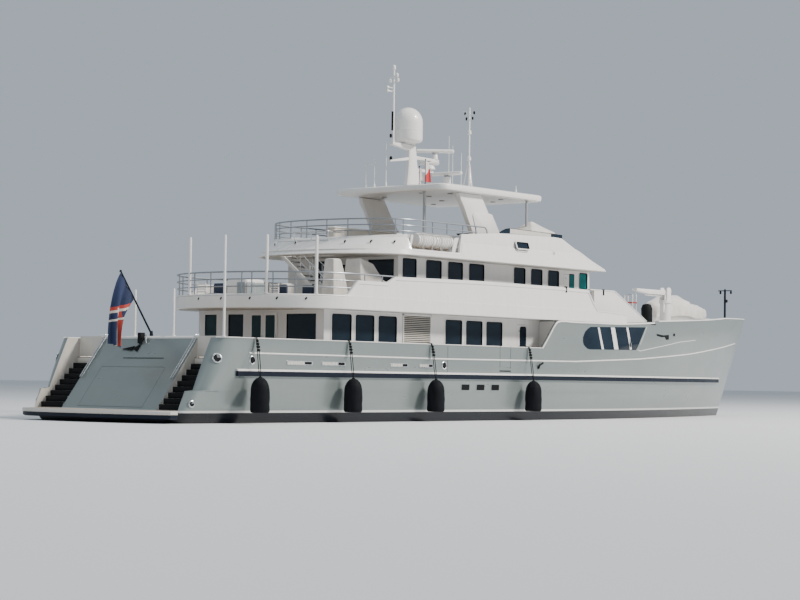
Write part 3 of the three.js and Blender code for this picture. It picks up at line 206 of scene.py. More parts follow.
def deck_finish(name, level):
    """White paint below, planking on the top face."""
    f = Finish(name)
    color, grain, _ = planks(f, 0.08, 0.46, (0.38, 0.3, 0.21), (0.52, 0.43, 0.32))
    top = f.above(f.z, (level - 0.006) * K, 0.001)
    paint = f.blend(f.spread(f.noise(1.3), 0.0, 1.0), (0.62, 0.6, 0.57), (0.68, 0.66, 0.63))
    return f.shade(f.blend(top, paint, color), f.spread(grain, 0.45, 0.7), grain, 0.1, 0.003)


def flag_cloth():
    """Dark blue bunting with a red and white pair of bands that run slantwise, then down the hanging fly."""
    f = Finish("ensign_cloth", sheen=0.1)

    def inside(value, low, high):
        return f.calc("MULTIPLY", f.above(value, low * K, 0.006),
                      f.calc("SUBTRACT", 1.0, f.above(value, high * K, 0.006)))

    slant = f.calc("SUBTRACT", f.z, f.calc("MULTIPLY", f.x, 0.2))
    hanging = inside(f.z, 3.05, 4.6)
    red_fly = f.calc("MULTIPLY", hanging, inside(f.x, -24.36, -24.2))
    white_fly = f.calc("MULTIPLY", hanging, inside(f.x, -24.5, -24.36))
    red = f.calc("MAXIMUM", inside(slant, 9.42, 9.56), red_fly)
    stripes = f.calc("MAXIMUM", inside(slant, 9.32, 9.42), inside(slant, 8.98, 9.06))
    white = f.calc("MAXIMUM", stripes, white_fly)
    threads = f.calc("MULTIPLY", f.calc("SINE", f.calc("MULTIPLY", f.x, 900.0)),
                     f.calc("SINE", f.calc("MULTIPLY", f.z, 900.0)))
    soft = f.noise(7.0, (1, 1, 0.5), 4.0)
    blue = f.blend(f.spread(soft, 0.0, 1.0), (0.005, 0.014, 0.055), (0.009, 0.023, 0.085))
    color = f.blend(white, f.blend(red, blue, (0.42, 0.045, 0.03)), (0.6, 0.56, 0.5))
    return f.shade(color, 0.8, f.calc("ADD", f.calc("MULTIPLY", threads, 0.05), soft), 0.25, 0.01)


def pennant_cloth():
    """White bunting with a red lower part."""
    f = Finish("pennant_cloth", sheen=0.1)
    soft = f.noise(9.0, (1, 1, 0.5), 4.0)
    white = f.blend(f.spread(soft, 0.0, 1.0), (0.6, 0.58, 0.56), (0.75, 0.73, 0.7))
    edge = f.calc("SUBTRACT", f.z, f.calc("MULTIPLY", f.x, 1.2))
    return f.shade(f.blend(f.above(edge, 19.8 * K, 0.004), (0.5, 0.03, 0.03), white), 0.8, soft, 0.2, 0.01)


HULL = hull_paint()
WHITE = painted("white_paint", (0.80, 0.785, 0.765), (0.6, 0.57, 0.53))
CREAM = painted("cream_paint", (0.62, 0.585, 0.53), (0.42, 0.385, 0.33))
NAVY = painted("navy_paint", (0.004, 0.008, 0.018), (0.008, 0.012, 0.02), 0.45, coat=0.0, specular=0.2)
BLACK = painted("black_fittings", (0.004, 0.005, 0.006), (0.012, 0.012, 0.013), 0.6, coat=0.0, specular=0.15)
GREY = painted("grey_slats", (0.33, 0.34, 0.35), (0.2, 0.2, 0.2), 0.45)
TEAK = teak()
GLASS = glass("dark_glass", (0.006, 0.012, 0.022), (0.012, 0.022, 0.034))
STEEL = metal("steel", (0.72, 0.73, 0.74))
# A darker copy of the steel for the deck rails: painted shade, as rails in shade look.
SHADED_RAIL_STEEL = metal("rail_steel_painted_shade", (0.3, 0.32, 0.35), 0.3)
BRONZE = metal("bronze", (0.62, 0.42, 0.18), 0.3)
CANVAS = cloth("cover_canvas", (0.72, 0.69, 0.65), (0.52, 0.485, 0.44))
FENDER = rubber()
SALOON = glass("saloon_glass", (0.006, 0.022, 0.028), (0.014, 0.045, 0.052))
TEAL = glass("teal_glass", (0.0, 0.09, 0.095), (0.0, 0.19, 0.185))
PALE_GLASS = glass("pale_glass", (0.2, 0.25, 0.27), (0.3, 0.35, 0.37))
RED = painted("red_paint", (0.42, 0.03, 0.025), (0.25, 0.03, 0.02))
NAVY_CLOTH = cloth("navy_cloth", (0.015, 0.03, 0.07), (0.008, 0.016, 0.04))
ENSIGN = flag_cloth()
PENNANT = pennant_cloth()

# Shapes


def turns(sides):
    """The angles of a regular polygon's corners."""
    return [2 * math.pi * k / sides for k in range(sides)]


class Shape:
    """Collects points and faces in full-size metres, then makes one mesh of them."""

    def __init__(self):
        self.points, self.faces, self.looks = [], [], []

    def add(self, points, faces, look=0):
        base = len(self.points)
        self.points += [tuple(map(float, p)) for p in points]
        self.faces += [[base + i for i in face] for face in faces]
        self.looks += [look] * len(faces)
        return self

    def loft(self, rings, look=0, caps=True, closed=True):
        n = len(rings[0])
        faces = []
        for i in range(len(rings) - 1):
            for j in range(n if closed else n - 1):
                a, b = i * n + j, i * n + (j + 1) % n
                faces.append((a, b, b + n, a + n))
        if caps and closed:
            faces += [tuple(range(n))[::-1], tuple(range((len(rings) - 1) * n, len(rings) * n))]
        return self.add([p for ring in rings for p in ring], faces, look)

    def box(self, x0, x1, y0, y1, z0, z1, look=0):
        ring = lambda x: [(x, y0, z0), (x, y1, z0), (x, y1, z1), (x, y0, z1)]
        return self.loft([ring(x0), ring(x1)], look)

    def slab(self, plan, z0, z1, look=0):
        return self.loft([[(x, y, z) for x, y in plan] for z in (z0, z1)], look)

    def side(self, outline, y0, y1, look=0):
        return self.loft([[(x, y, z) for x, z in outline] for y in (y1, y0)], look)

    def tube(self, path, radius, sides=8, look=0):
        path = [Vector(p) for p in path]
        radii = radius if isinstance(radius, (list, tuple)) else [radius] * len(path)
        across, rings = None, []
        for i, point in enumerate(path):
            along = (path[min(i + 1, len(path) - 1)] - path[max(i - 1, 0)]).normalized()
            if across is None:
                across = along.cross(Vector((0, 0, 1) if abs(along.z) < 0.9 else (1, 0, 0)))
            across = (across - along * across.dot(along)).normalized()
            up = along.cross(across)
            rings.append([point + (across * math.cos(t) + up * math.sin(t)) * radii[i] for t in turns(sides)])
        return self.loft(rings, look)

    def lathe(self, profile, at, axis=(0, 0, 1), sides=24, look=0):
        turn = Vector((0, 0, 1)).rotation_difference(Vector(axis).normalized()).to_matrix()
        rings = []
        for r, h in profile:
            ring = [(r * math.cos(t), r * math.sin(t), h) for t in turns(sides)]
            rings.append([Vector(at) + turn @ Vector(p) for p in ring])
        return self.loft(rings, look)

    def sweep(self, path, profile, look=0):
        """A profile of (out, up) points carried along a path; out is square to the path in plan."""
        path = [Vector(p) for p in path]
        rings = []
        for i, point in enumerate(path):
            along = path[min(i + 1, len(path) - 1)] - path[max(i - 1, 0)]
            out = Vector((along.y, -along.x, 0)).normalized()
            rows = profile(i) if callable(profile) else profile
            rings.append([point + out * a + Vector((0, 0, b)) for a, b in rows])
        return self.loft(rings, look)

    def mirror(self):
        """Adds the port twin of every face."""
        base = len(self.points)
        self.points += [(x, -y, z) for x, y, z in self.points]
        self.faces += [[base + i for i in face][::-1] for face in self.faces]
        self.looks *= 2
        return self

    def flip(self):
        """Turns a starboard shape into its port twin."""
        self.points = [(x, -y, z) for x, y, z in self.points]
        self.faces = [face[::-1] for face in self.faces]
        return self

    def place(self, name, looks, slot, body="root", replaces=(), bevel=0.0, smooth=35):
        looks = looks if isinstance(looks, (list, tuple)) else [looks]
        mesh = bpy.data.meshes.new(name)
        mesh.from_pydata([(x * K, y * K, z * K) for x, y, z in self.points], [], self.faces)
        for look in looks:
            mesh.materials.append(look)
        for polygon, look in zip(mesh.polygons, self.looks):
            polygon.material_index = look
        mesh.update()
        obj = bpy.data.objects.new(name, mesh)
        FIELD.objects.link(obj)
        tidy_normals(obj, smooth)
        if bevel:
            round_edges(obj, bevel, smooth)
        if body:
            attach(obj, body)
        if replaces:
            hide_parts(*replaces)
        return obj


def shade_smooth(obj, angle):
    """Smooth shading across every edge that turns less than the angle, in degrees."""
    obj.data.polygons.foreach_set("use_smooth", [True] * len(obj.data.polygons))
    obj.data.set_sharp_from_angle(angle=math.radians(angle))


def tidy_normals(obj, smooth):
    """Outward faces, shaded smooth."""
    bm = bmesh.new()
    bm.from_mesh(obj.data)
    bmesh.ops.recalc_face_normals(bm, faces=bm.faces)
    bm.to_mesh(obj.data)
    bm.free()
    shade_smooth(obj, smooth)


def baked(obj):
    """Applies the object's modifiers to its mesh."""
    graph = bpy.context.evaluated_depsgraph_get()
    mesh = bpy.data.meshes.new_from_object(obj.evaluated_get(graph))
    obj.modifiers.clear()
    obj.data = mesh


def round_edges(obj, width, smooth):
    """Rounds the edges by a width in full-size metres."""
    bevel = obj.modifiers.new("bevel", "BEVEL")
    bevel.width = width * K
    bevel.segments = 2
    bevel.limit_method = "ANGLE"
    bevel.angle_limit = math.radians(38)
    baked(obj)
    obj.data.set_sharp_from_angle(angle=math.radians(smooth))


def carve(obj, cutters, smooth):
    """Cuts each shape in (shape, material) out of the object; the cut faces take the material."""
    for shape, look in cutters:
        tool = shape.place("cutter", look, None, None)
        cut = obj.modifiers.new("cut", "BOOLEAN")
        cut.operation = "DIFFERENCE"
        cut.solver = "EXACT"
        cut.material_mode = "TRANSFER"
        cut.object = tool
        bpy.context.view_layer.update()
        baked(obj)
        bpy.data.objects.remove(tool)
    shade_smooth(obj, smooth)


# Hull lines, as in the part

MAIN_Z, UPPER_Z, SUN_Z, CAP_Z = 2.35, 5.0, 7.6, 3.42
# Feet of what stands on the foredeck, the upper deck, the sun deck and the hardtop, clear of their tops
ON_FORE, ON_UPPER, ON_SUN, ON_ROOF = 4.752, 5.002, 7.602, 11.042
SHAFT_Y, STOCK_X = 1.65, -21.3
# Height, aft end, stem, half-breadth amidships and aft, end of the run, start of the entry, its power
HULL_ROWS = [
    (-2.80, -9.0, 20.6, 0.16, 0.12, -5.0, 8.0, 2.0),
    (-2.30, -12.5, 21.7, 2.40, 0.12, -1.0, -3.0, 1.5),
    (-1.50, -17.5, 22.4, 3.90, 0.14, -3.0, -3.0, 1.55),
    (-0.80, -22.0, 22.8, 4.40, 0.90, -6.0, -2.0, 1.6),
    (-0.35, -25.4, 23.0, 4.55, 3.30, -10.0, -1.5, 1.65),
    (0.50, -25.4, 23.5, 4.68, 4.40, -12.0, -0.5, 1.7),
    (1.28, -24.95, 23.9, 4.74, 4.60, -14.0, 0.5, 1.8),
    (1.32, -24.5, 23.95, 4.74, 4.62, -14.0, 0.5, 1.8),
    (2.35, -24.02, 24.5, 4.8, 4.72, -16.0, 1.5, 1.95),
    (None, -23.56, 26.1, 4.8, 4.75, -20.0, 3.0, 2.2),
    (None, -23.5, 26.4, 4.8, 4.76, -16.0, 3.0, 2.3),
]
KNUCKLE_ROW, SHEER_ROW = 9, 10
BOW_TOP = [(-1.34, 3.42), (-0.1, 4.75), (0, 4.8), (5.5, 4.83), (9.3, 5.0), (16.5, 5.3), (20, 5.5),
           (26.4, 5.66)]
QUARTER = 0.6
# Ends of the hull, and between which stations its columns stand upright
AFT_END, FORE_END, UPRIGHT_AFT, UPRIGHT_FORE = -25.4, 26.4, -4, 10


def along(table, x):
    return float(np.interp(x, [row[0] for row in table], [row[1] for row in table]))


def half_breadth(row, x):
    _, aft, stem, mid, aft_y, run, entry, power = row
    y = mid
    if x < run:
        y = aft_y + (mid - aft_y) * math.sin((x - aft) / (run - aft) * math.pi / 2)
    if x > entry:
        y = 0.05 + (mid - 0.05) * (1 - min(1, (x - entry) / (stem - entry)) ** power)
    turn = min(1, (aft + QUARTER - x) / QUARTER)
    if turn > 0:
        y -= min(QUARTER, aft_y - 0.05) * (1 - math.sqrt(1 - turn * turn))
    return y


def sheer(x):
    return along(BOW_TOP, x) if x > -1.34 else CAP_Z


def knuckle(x):
    return min(3.42 + max(0, x - 3) * 0.068, sheer(x) - 0.12)


def smooth_between(xs, ys, at):
    """Monotone cubic through the points."""
    xs, ys = np.array(xs), np.array(ys)
    h, d = np.diff(xs), np.diff(ys) / np.diff(xs)
    m = np.zeros(len(xs))
    m[0], m[-1] = d[0], d[-1]
    for i in range(1, len(d)):
        if d[i - 1] * d[i] > 0:
            w1, w2 = 2 * h[i] + h[i - 1], h[i] + 2 * h[i - 1]
            m[i] = (w1 + w2) / (w1 / d[i - 1] + w2 / d[i])
    i = np.clip(np.searchsorted(xs, at) - 1, 0, len(d) - 1)
    t = (at - xs[i]) / h[i]
    return ((2 * t - 3) * t * t + 1) * ys[i] + (t * (t - 2) + 1) * t * h[i] * m[i] \
        + (3 - 2 * t) * t * t * ys[i + 1] + (t - 1) * t * t * h[i] * m[i + 1]


FINE_ROWS = sorted({*np.round(np.arange(0, 9.001, 0.25), 3).tolist(), 9.0, 9.33, 9.66, 10.0, 4.1, 4.9, 5.1,
                    7.1, 7.9})
STATIONS = sorted(
    {AFT_END + q for q in (0, 0.02, 0.06, 0.12, 0.2, 0.3, 0.42, 0.6)} | {-1.34, -0.1, 0.0}
    | set(np.round(np.arange(-24.5, -4, 0.5), 3).tolist()) | set(np.round(np.arange(-4, 12, 0.4), 3).tolist())
    | set(np.round(np.linspace(12, 25, 32), 3).tolist()) | {25.3, 25.6, 25.9, 26.1, 26.25, 26.35, 26.4}
)


def hull_columns():
    """For each station the points of the starboard side from the keel to the sheer."""
    columns = []
    for s in STATIONS:
        knots = []
        for n, row in enumerate(HULL_ROWS):
            x = s
            if s < UPRIGHT_AFT:
                x = UPRIGHT_AFT - (UPRIGHT_AFT - s) * (UPRIGHT_AFT - row[1]) / (UPRIGHT_AFT - AFT_END)
            elif s > UPRIGHT_FORE:
                x = UPRIGHT_FORE + (s - UPRIGHT_FORE) * (row[2] - UPRIGHT_FORE) / (FORE_END - UPRIGHT_FORE)
            z = row[0] if row[0] is not None else (knuckle(x) if n == KNUCKLE_ROW else sheer(x))
            knots.append((x, half_breadth(row, x), z))
        xs, ys, zs = zip(*knots)
        column = []
        for f in FINE_ROWS:
            i = min(int(f), KNUCKLE_ROW)
            t = f - i
            z = zs[i] + (zs[i + 1] - zs[i]) * t
            x = xs[i] + (xs[i + 1] - xs[i]) * t
            y = smooth_between(zs[:10], ys[:10], z) if f <= KNUCKLE_ROW else ys[9] + (ys[10] - ys[9]) * t
            column.append((x, float(y), z))
        columns.append(column)
    return columns


COLUMNS = hull_columns()


def hull_y(x, z, columns=np.array(COLUMNS)):
    """Half-breadth of the finished side at a place and height."""
    xs = [np.interp(z, c[:, 2], c[:, 0]) for c in columns]
    ys = [np.interp(z, c[:, 2], c[:, 1]) for c in columns]
    return float(np.interp(x, xs, ys))


def on_hull(x, z, proud=0.0):
    """A point on the starboard side, lifted off it by proud."""
    return (x, -(hull_y(x, z) + proud), z)


TRANSOM_HALF, WING_Y = 2.75, 4.16
STERN_WALL_X = -22.35
# Stern stairs: foot, number of risers, height and depth of a step, aft end
STAIR_FOOT, RISERS, RISE, GOING, STAIR_X = 0.5, 8, (MAIN_Z - 0.5) / 8, 0.25, -24.95


def transom_x(z):
    return -25.07 + 0.8 * (z - 0.5)


def build_hull():
    """The shell, with the well deck, stairs, garage, foredeck and gate openings cut out of it."""
    rings = []
    for column in COLUMNS:
        starboard = [(x, -y, z) for x, y, z in column]
        rings.append(starboard + [(x, -y, z) for x, y, z in reversed(starboard)])
    shell = Shape()
    shell.loft(rings, 0, caps=False)
    n = len(rings[0])
    last = (len(rings) - 1) * n
    ends = [[base + j, base + j + 1, base + n - 2 - j, base + n - 1 - j] for base in (0, last)
            for j in range(n // 2 - 1)]
    shell.faces += ends
    shell.looks += [0] * len(ends)
    hull = shell.place("hull_shell", [HULL, WHITE, TEAK], "hull_paint", replaces=(
        "hull", "stern_bulwark", "bulwark_starboard", "bulwark_port", "forecastle"), smooth=22)

    well = Shape()
    plan = [(x, -(y if x < -22.8 else half_breadth(HULL_ROWS[SHEER_ROW], x) - 0.18)) for x, y in
            [(STERN_WALL_X, 0)] + [(x, 0) for x in np.linspace(-21.5, -0.1, 40)]]
    well.slab(plan + [(x, -y) for x, y in reversed(plan)], MAIN_Z, 9)
    stairs = Shape()
    for y0, y1 in ((-WING_Y, -TRANSOM_HALF), (TRANSOM_HALF, WING_Y)):
        outline = [(-28, STAIR_FOOT)]
        for i in range(RISERS):
            x = STAIR_X + i * GOING
            outline += [(x, STAIR_FOOT + i * RISE), (x, STAIR_FOOT + (i + 1) * RISE)]
        outline += [(-21.9, MAIN_Z), (-21.9, 9), (-28, 9)]
        stairs.side(outline, y0, y1)
    slope = Shape().side([(-28, 0.5), (transom_x(0.5), 0.5), (transom_x(9), 9), (-28, 9)],
                         -TRANSOM_HALF - 0.1, TRANSOM_HALF + 0.1)
    inner = [(x, -max(0.2, half_breadth(HULL_ROWS[SHEER_ROW], x) - 0.22)) for x in np.linspace(9.6, 25.2, 30)]
    fore = Shape().slab(inner + [(x, -y) for x, y in reversed(inner)], 4.75, 9)
    seat = Shape().box(-1, 6.1, -6, 6, 4.8, 9)
    garage = Shape().box(-26, -20.6, -1.75, 1.75, 0.72, 2.12)
    rebate = Shape().side([(transom_x(0.6) - 0.3, 0.6), (transom_x(0.6) + 0.15, 0.6), (-23.54, 2.14),
                           (-24.1, 2.38)], -1.87, 1.87)
    gates = Shape()
    for y0, y1 in ((-6, -4), (4, 6)):
        gates.box(-4.84, -3.97, y0, y1, 2.45, 9)
    stocks = Shape()
    for side in (-1, 1):
        stocks.tube([(STOCK_X, side * SHAFT_Y, -2), (STOCK_X, side * SHAFT_Y, 0.1)], 0.124, 16)
    carve(hull, [(well, WHITE), (stairs, CREAM), (slope, HULL), (fore, WHITE), (seat, WHITE), (rebate, HULL),
                 (garage, WHITE), (gates, WHITE), (stocks, HULL)], 22)


# Decks and their bulwarks

# Aft end, start of the rounded end, fore end, half-breadth, power of the rounded end
UPPER_PLAN = (-18.9, -15.3, 6.1, 4.76, 2.05)
SUN_PLAN = (-13.55, -10.75, 4.85, 4.3, 2.15)
COAMING_PLAN = (-12.5, -10.2, 4.85, 4.04, 2.15)
BAND = 0.16
UPPER_TOP = [(-30, 5.4), (-15.8, 5.4), (-15.1, 6.06), (-13.1, 6.06), (-12.55, 6.33), (-6, 6.42), (0, 6.42),
             (2.6, 6.38), (3.4, 5.4), (6.1, 5.3)]
RAFT_RACK_TOP = 8.45
SUN_TOP = [(-30, 8.2), (-12.5, 8.2), (-10.75, 8.35), (-10.65, 7.68), (-7.2, 7.68), (-6.85, 8.57), (-3.9, 8.8),
           (0.7, 8.9), (1.3, 8.88), (2.5, 8.42), (2.9, 8.32), (3.9, 7.88), (4.85, 7.52)]


def outline_x(plan, inset, y):
    """Where the rounded aft end of a plan stands at a distance from the middle line."""
    aft, corner, _, half, power = plan
    return corner - (corner - aft - inset) * (1 - (abs(y) / (half - inset)) ** power) ** (1 / power)


def outline_y(plan, inset, x):
    """Half-breadth of a plan at a station."""
    aft, corner, _, half, power = plan
    share = min(1, max(0, corner - x) / (corner - aft - inset))
    return (half - inset) * (1 - share ** power) ** (1 / power)


def deck_path(plan, inset, extra, fore=None):
    """The deck's edge in plan from port forward, round the aft end, to starboard forward."""
    steps = 26
    aft, corner, end, half, power = plan
    end = end if fore is None else fore
    round_end = []
    for i in range(steps + 1):
        a = i / steps * math.pi / 2
        x = corner - (corner - aft - inset) * math.sin(a) ** (2 / power)
        round_end.append((x, (half - inset) * math.cos(a) ** (2 / power) if i < steps else 0.0))
    stations = sorted({end, *[e for e in extra if corner < e < end]}, reverse=True)
    straight = [(x, half - inset) for x in stations]
    if end < corner:
        straight = [(end, outline_y(plan, inset, end))]
    port = straight + [p for p in round_end if p[0] < end - 0.01]
    return port + [(x, -y) for x, y in reversed(port[:-1])]


def upper_band():
    """Upper bulwark: flared foot, a crease at deck level, a step below the rounded top edge."""
    extra = [x for x, _ in UPPER_TOP] + list(np.arange(-16, 6, 1.0))
    path = deck_path(UPPER_PLAN, 0, extra)

    def profile(i):
        top = along(UPPER_TOP, path[i][0])
        mid = min(5.36, top - 0.1)
        step = max(mid + 0.03, top - 0.17)
        return [(-BAND, 4.85), (-0.1, 4.802), (-0.02, 4.802), (0.0, 4.83), (0.03, mid - 0.03), (0.035, mid),
                (0.0, mid + 0.025), (-0.02, step), (0.015, min(step + 0.02, top - 0.03)),
                (0.006, top - 0.025), (-0.03, top), (-BAND + 0.03, top), (-BAND, top - 0.03)]

    Shape().sweep([(x, y, 0) for x, y in path], profile).place(
        "upper_band", WHITE, "white_paint", replaces=["upper_bulwark"], smooth=24)


def run_along(points):
    """Length along a line of points, from its start to each of them."""
    return np.concatenate([[0], np.cumsum(np.hypot(*np.diff(points, axis=0).T))])


def coaming_columns(inset):
    """Foot and top of the leaning coaming at matching places, from port forward to the aft end."""
    xs = (4.85, 4.4, 3.9, 2.9, 2.5, 1.9, 1.3, 0.7, -0.8, -2.4, -3.9, -5.4, -6.85, -7.2, -8.2, -9.2, -10.2)
    sides = []
    for aft, corner, fore, half, power in (SUN_PLAN, COAMING_PLAN):
        plan = (aft + inset, corner, fore, half - inset, power)
        bend = [corner - (corner - plan[0]) * math.sin(a) for a in np.linspace(0.002, math.pi / 2, 240)]
        bend = [xs[-1]] + [x for x in bend if x < xs[-1] - 0.001]
        trail = np.array([(x, outline_y(plan, 0, x)) for x in bend])
        run = run_along(trail)
        sides.append((trail, run / run[-1], plan[3]))
    top = sides[1]
    knots = [float(np.interp(-x, -top[0][:, 0], top[1])) for x in (-10.65, -10.75)]
    columns = [[(x, half) for _, _, half in sides] for x in xs]
    for mark in sorted({*np.linspace(0, 1, 25)[1:], *knots}):
        columns.append([tuple(float(np.interp(mark, run, trail[:, k])) for k in (0, 1))
                        for trail, run, _ in sides])
    return columns


def lean_at(z):
    """Share of the coaming's lean that is reached at a height."""
    return min(1, max(0, (z - 7.42) / 0.78))


def sun_band():
    """Coaming that leans inboard, with a dip for the liferafts, and the brow over the wheelhouse."""
    # inset and height; heights near 10 count down from the top edge
    levels = [(BAND, 7.45), (0.12, 7.385), (0.03, 7.382), (0.0, 7.41), (-0.012, 7.62), (0.012, 7.65),
              (-0.012, 8.13), (0.025, 8.19), (0.02, 9.9), (0.035, 9.98), (0.06, 10), (0.11, 10),
              (0.145, 9.98), (BAND, 9.94), (BAND, 8.2), (BAND, 7.62)]
    sets = {inset: coaming_columns(inset) for inset in {inset for inset, _ in levels}}
    rings = []
    for j, (_, head) in enumerate(sets[0.0]):
        top = along(SUN_TOP, head[0])
        ring = []
        for n, (inset, z) in enumerate(levels):
            foot, upper = sets[inset][j]
            if z > 9:
                z = top - (10 - z)
            else:
                z = min(z, top - 0.12 + 0.004 * n if n < 9 else top - 0.07)
            t = lean_at(z)
            ring.append((foot[0] + (upper[0] - foot[0]) * t, foot[1] + (upper[1] - foot[1]) * t, z))
        rings.append(ring)
    band = Shape().loft(rings + [[(x, -y, z) for x, y, z in ring] for ring in reversed(rings[:-1])])
    # the brow's sides stay inside the band at every height
    width = lambda z: 4.3 - 0.26 * lean_at(z) - 0.045
    crown = [(0.4, 8.88), (0.9, 8.88), (1.3, 8.86), (1.9, 8.63), (2.5, 8.4), (2.9, 8.3), (3.4, 8.08),
             (3.9, 7.86), (4.4, 7.68), (4.85, 7.5)]
    sections = []
    feet = [(x, ON_SUN) for x, _ in crown[:-1]] + [(4.552, ON_SUN), (4.553, 7.39), (4.8, 7.39), (4.85, 7.43)]
    for x, foot in feet:
        head = along(crown, x)
        levels = [foot + (head - foot) * t for t in (0, 0.25, 0.5, 0.75, 1)]
        sections.append([(x, -width(z), z) for z in levels] + [(x, width(z), z) for z in levels[::-1]])
    band.loft(sections)
    band.place("sun_band", WHITE, "white_paint", replaces=["sun_coaming"], smooth=24)


def around(plan, inset, y, z):
    """A point on the deck's rounded end with its outward direction."""
    x = outline_x(plan, inset, y)
    dx = outline_x(plan, inset, y + 0.01) - x
    out = Vector((-0.01, dx, 0)).normalized()
    return (x, y, z, out if out.x < 0 else -out)


def slots(shape, places):
    """Drain slots: small slanted dark plates in a raised rim."""
    for x, y, z, out in places:
        side = Vector((-out.y, out.x, 0))
        for size, depth, look in ((1.0, 0.012, 1), (0.7, 0.02, 0)):
            ring = [(-0.06, -0.05), (0.0, -0.1), (0.1, 0.03), (0.06, 0.1), (-0.02, 0.05)]
            shape.loft([[Vector((x, y, z)) + out * d + side * (a * size) + UP * (b * size) for a, b in ring]
                        for d in (-0.03, depth)], look)


def build_decks():
    """The bulwarks of the two upper decks with their drains, vents and caps."""
    upper_band()
    sun_band()
    trim = Shape()
    slots(trim, [around(UPPER_PLAN, -0.02, y, 5.2) for y in (4.44, 1.09, -0.31, -1.76, -2.88, -3.86)])
    middle = tuple(a + (b - a) * 0.58 for a, b in zip(SUN_PLAN, COAMING_PLAN))
    slots(trim, [around(middle, 0.0, y, 7.95) for y in (4.08, 2.4, 0.83, -0.51, -1.92, -3.03, -3.8)])
    trim.place("drain_slots", [BLACK, WHITE], "white_paint")

    vent = Shape()
    lean = Vector((0, 0.32, 1)).normalized()
    window(vent, (-2.16, -4.125, 8.31), 0.96, 0.3, AHEAD, lean, r=0.05, trim=0.07, proud=0.03)
    for z in (8.03, 8.09):
        vent.loft([[(x, -4.3 + 0.26 * lean_at(z + dz) - out, z + dz)
                    for out, dz in ((0.0, 0.0), (0.05, -0.02), (0.055, 0.01), (0.0, 0.045))]
                   for x in (-2.6, -1.72)], 0)
    disc_fitting(vent, (0.54, -4.11, 8.12), (0, -1, 0.3), 0.07)
    for x, z in ((0.65, 6.32), (5.15, 6.37)):
        y = -4.74 if x < 3 else -3.95
        vent.box(x - 0.03, x + 0.03, y - 0.05, y + 0.03, z - 0.15, z + 0.15, 1)
        vent.box(x - 0.1, x + 0.06, y - 0.05, y + 0.03, z + 0.1, z + 0.15, 1)
    vent.mirror().place("coaming_fittings", [WHITE, BLACK, GLASS], "white_paint", smooth=30)

    edge = Shape()
    line = [(3.95, 6.46), (6.2, 6.47), (6.6, 6.3), (7.4, 5.92), (8.3, 5.5), (9.26, 5.04)]
    edge.loft([[(x, y, z + dz) for y, dz in ((-3.975, -0.03), (-3.975, 0.02), (-3.93, 0.035), (-3.8, 0.035),
                                             (-3.78, 0.0), (-3.79, -0.03))] for x, z in line])
    edge.side([(4.302, 5.01), (4.36, 5.01), (4.36, 6.46), (4.302, 6.46)], -3.97, -3.79)
    edge.mirror().place("breast_wall_cap", WHITE, "white_paint", bevel=0.01)


def rail(name, plan, inset, bars, posts, tops, replaced):
    """Round bars with a smooth bend, turned-down ends, posts with flanges on the band."""
    shape = Shape()
    for n, (z, end) in enumerate(bars):
        path = [(x, y, z) for x, y in deck_path(plan, inset, np.arange(-14.5, -5, 1.5), end)]
        if n == 0:
            drop, y = along(tops, end) + 0.02, path[0][1]
            path = [(end + 0.25, y, drop), (end + 0.2, y, z - 0.12), (end + 0.1, y, z - 0.02)] + path
            path += [(x, -y, h) for x, y, h in path[:3][::-1]]
        shape.tube(path, 0.026 if n else 0.032, 8)
    for x, y in posts:
        beside_rafts = tops is SUN_TOP and -10 < x < -7
        foot = max(along(tops, x), RAFT_RACK_TOP) if beside_rafts else along(tops, x)
        shape.tube([(x, y, foot + 0.002), (x, y, bars[0][0])], 0.026, 8)
        shape.lathe([(0.05, foot + 0.002), (0.05, foot + 0.02), (0.028, foot + 0.03)], (x, y, 0), sides=10)
    shape.place(name, SHADED_RAIL_STEEL, "steel", replaces=replaced)


def build_rails():
    """Rails of both decks and the awning poles of the upper one."""
    posts = [(outline_x(UPPER_PLAN, 0.08, y), y) for y in (4.48, 3.1, 1.52, 0.4, -1.3, -1.77, -2.66, -3.48)]
    posts += [(x, s * outline_y(UPPER_PLAN, 0.08, x)) for x in (-14.6, -13.4) for s in (-1, 1)]
    bars = [(6.33, -12.64), (6.02, -15.19), (5.71, -15.52)]
    rail("upper_rails", UPPER_PLAN, 0.08, bars, posts, UPPER_TOP, [])
    posts = [(outline_x(COAMING_PLAN, 0.08, y), y) for y in (3.6, 2.7, 1.7, 0.6, -0.6, -1.7, -2.7, -3.6)]
    posts += [(x, s * outline_y(COAMING_PLAN, 0.08, x)) for x in (-10.9, -8.97, -7.9, -6.7, -5.7)
              for s in (-1, 1)]
    rail("sun_rails", COAMING_PLAN, 0.08, [(9.0, -5.05), (8.73, -5.6), (8.47, -6.9)], posts, SUN_TOP,
         ["sun_rail"])
    poles = Shape()
    for y in (1.93, -2.41, -4.08):
        x = outline_x(UPPER_PLAN, 0.08, y)
        poles.lathe([(0.09, 5.402), (0.09, 5.44), (0.065, 5.46), (0.065, 7.84), (0.05, 7.89), (0.02, 7.9)],
                    (x, y, 0), sides=14)
    poles.place("awning_poles", WHITE, "white_paint", replaces=["upper_rail"])


def rounded_plan(x0, x1, half, corner):
    return [((x0 + x1) / 2 + a, b) for a, b in rounded(x1 - x0, 2 * half, corner, 6)]


def stack(shape, plan_at, rows, look=0):
    """Closed form from level outlines: rows are height and inset."""
    shape.loft([[(x, y, z) for x, y in plan_at(inset)] for z, inset in rows], look)


def block(shape, x, y, length, width, r, rows, look=0):
    """A stack with a rounded rectangle for its plan."""
    stack(shape, lambda i: [(x + a, y + b) for a, b in rounded(length - 2 * i, width - 2 * i, r)], rows, look)


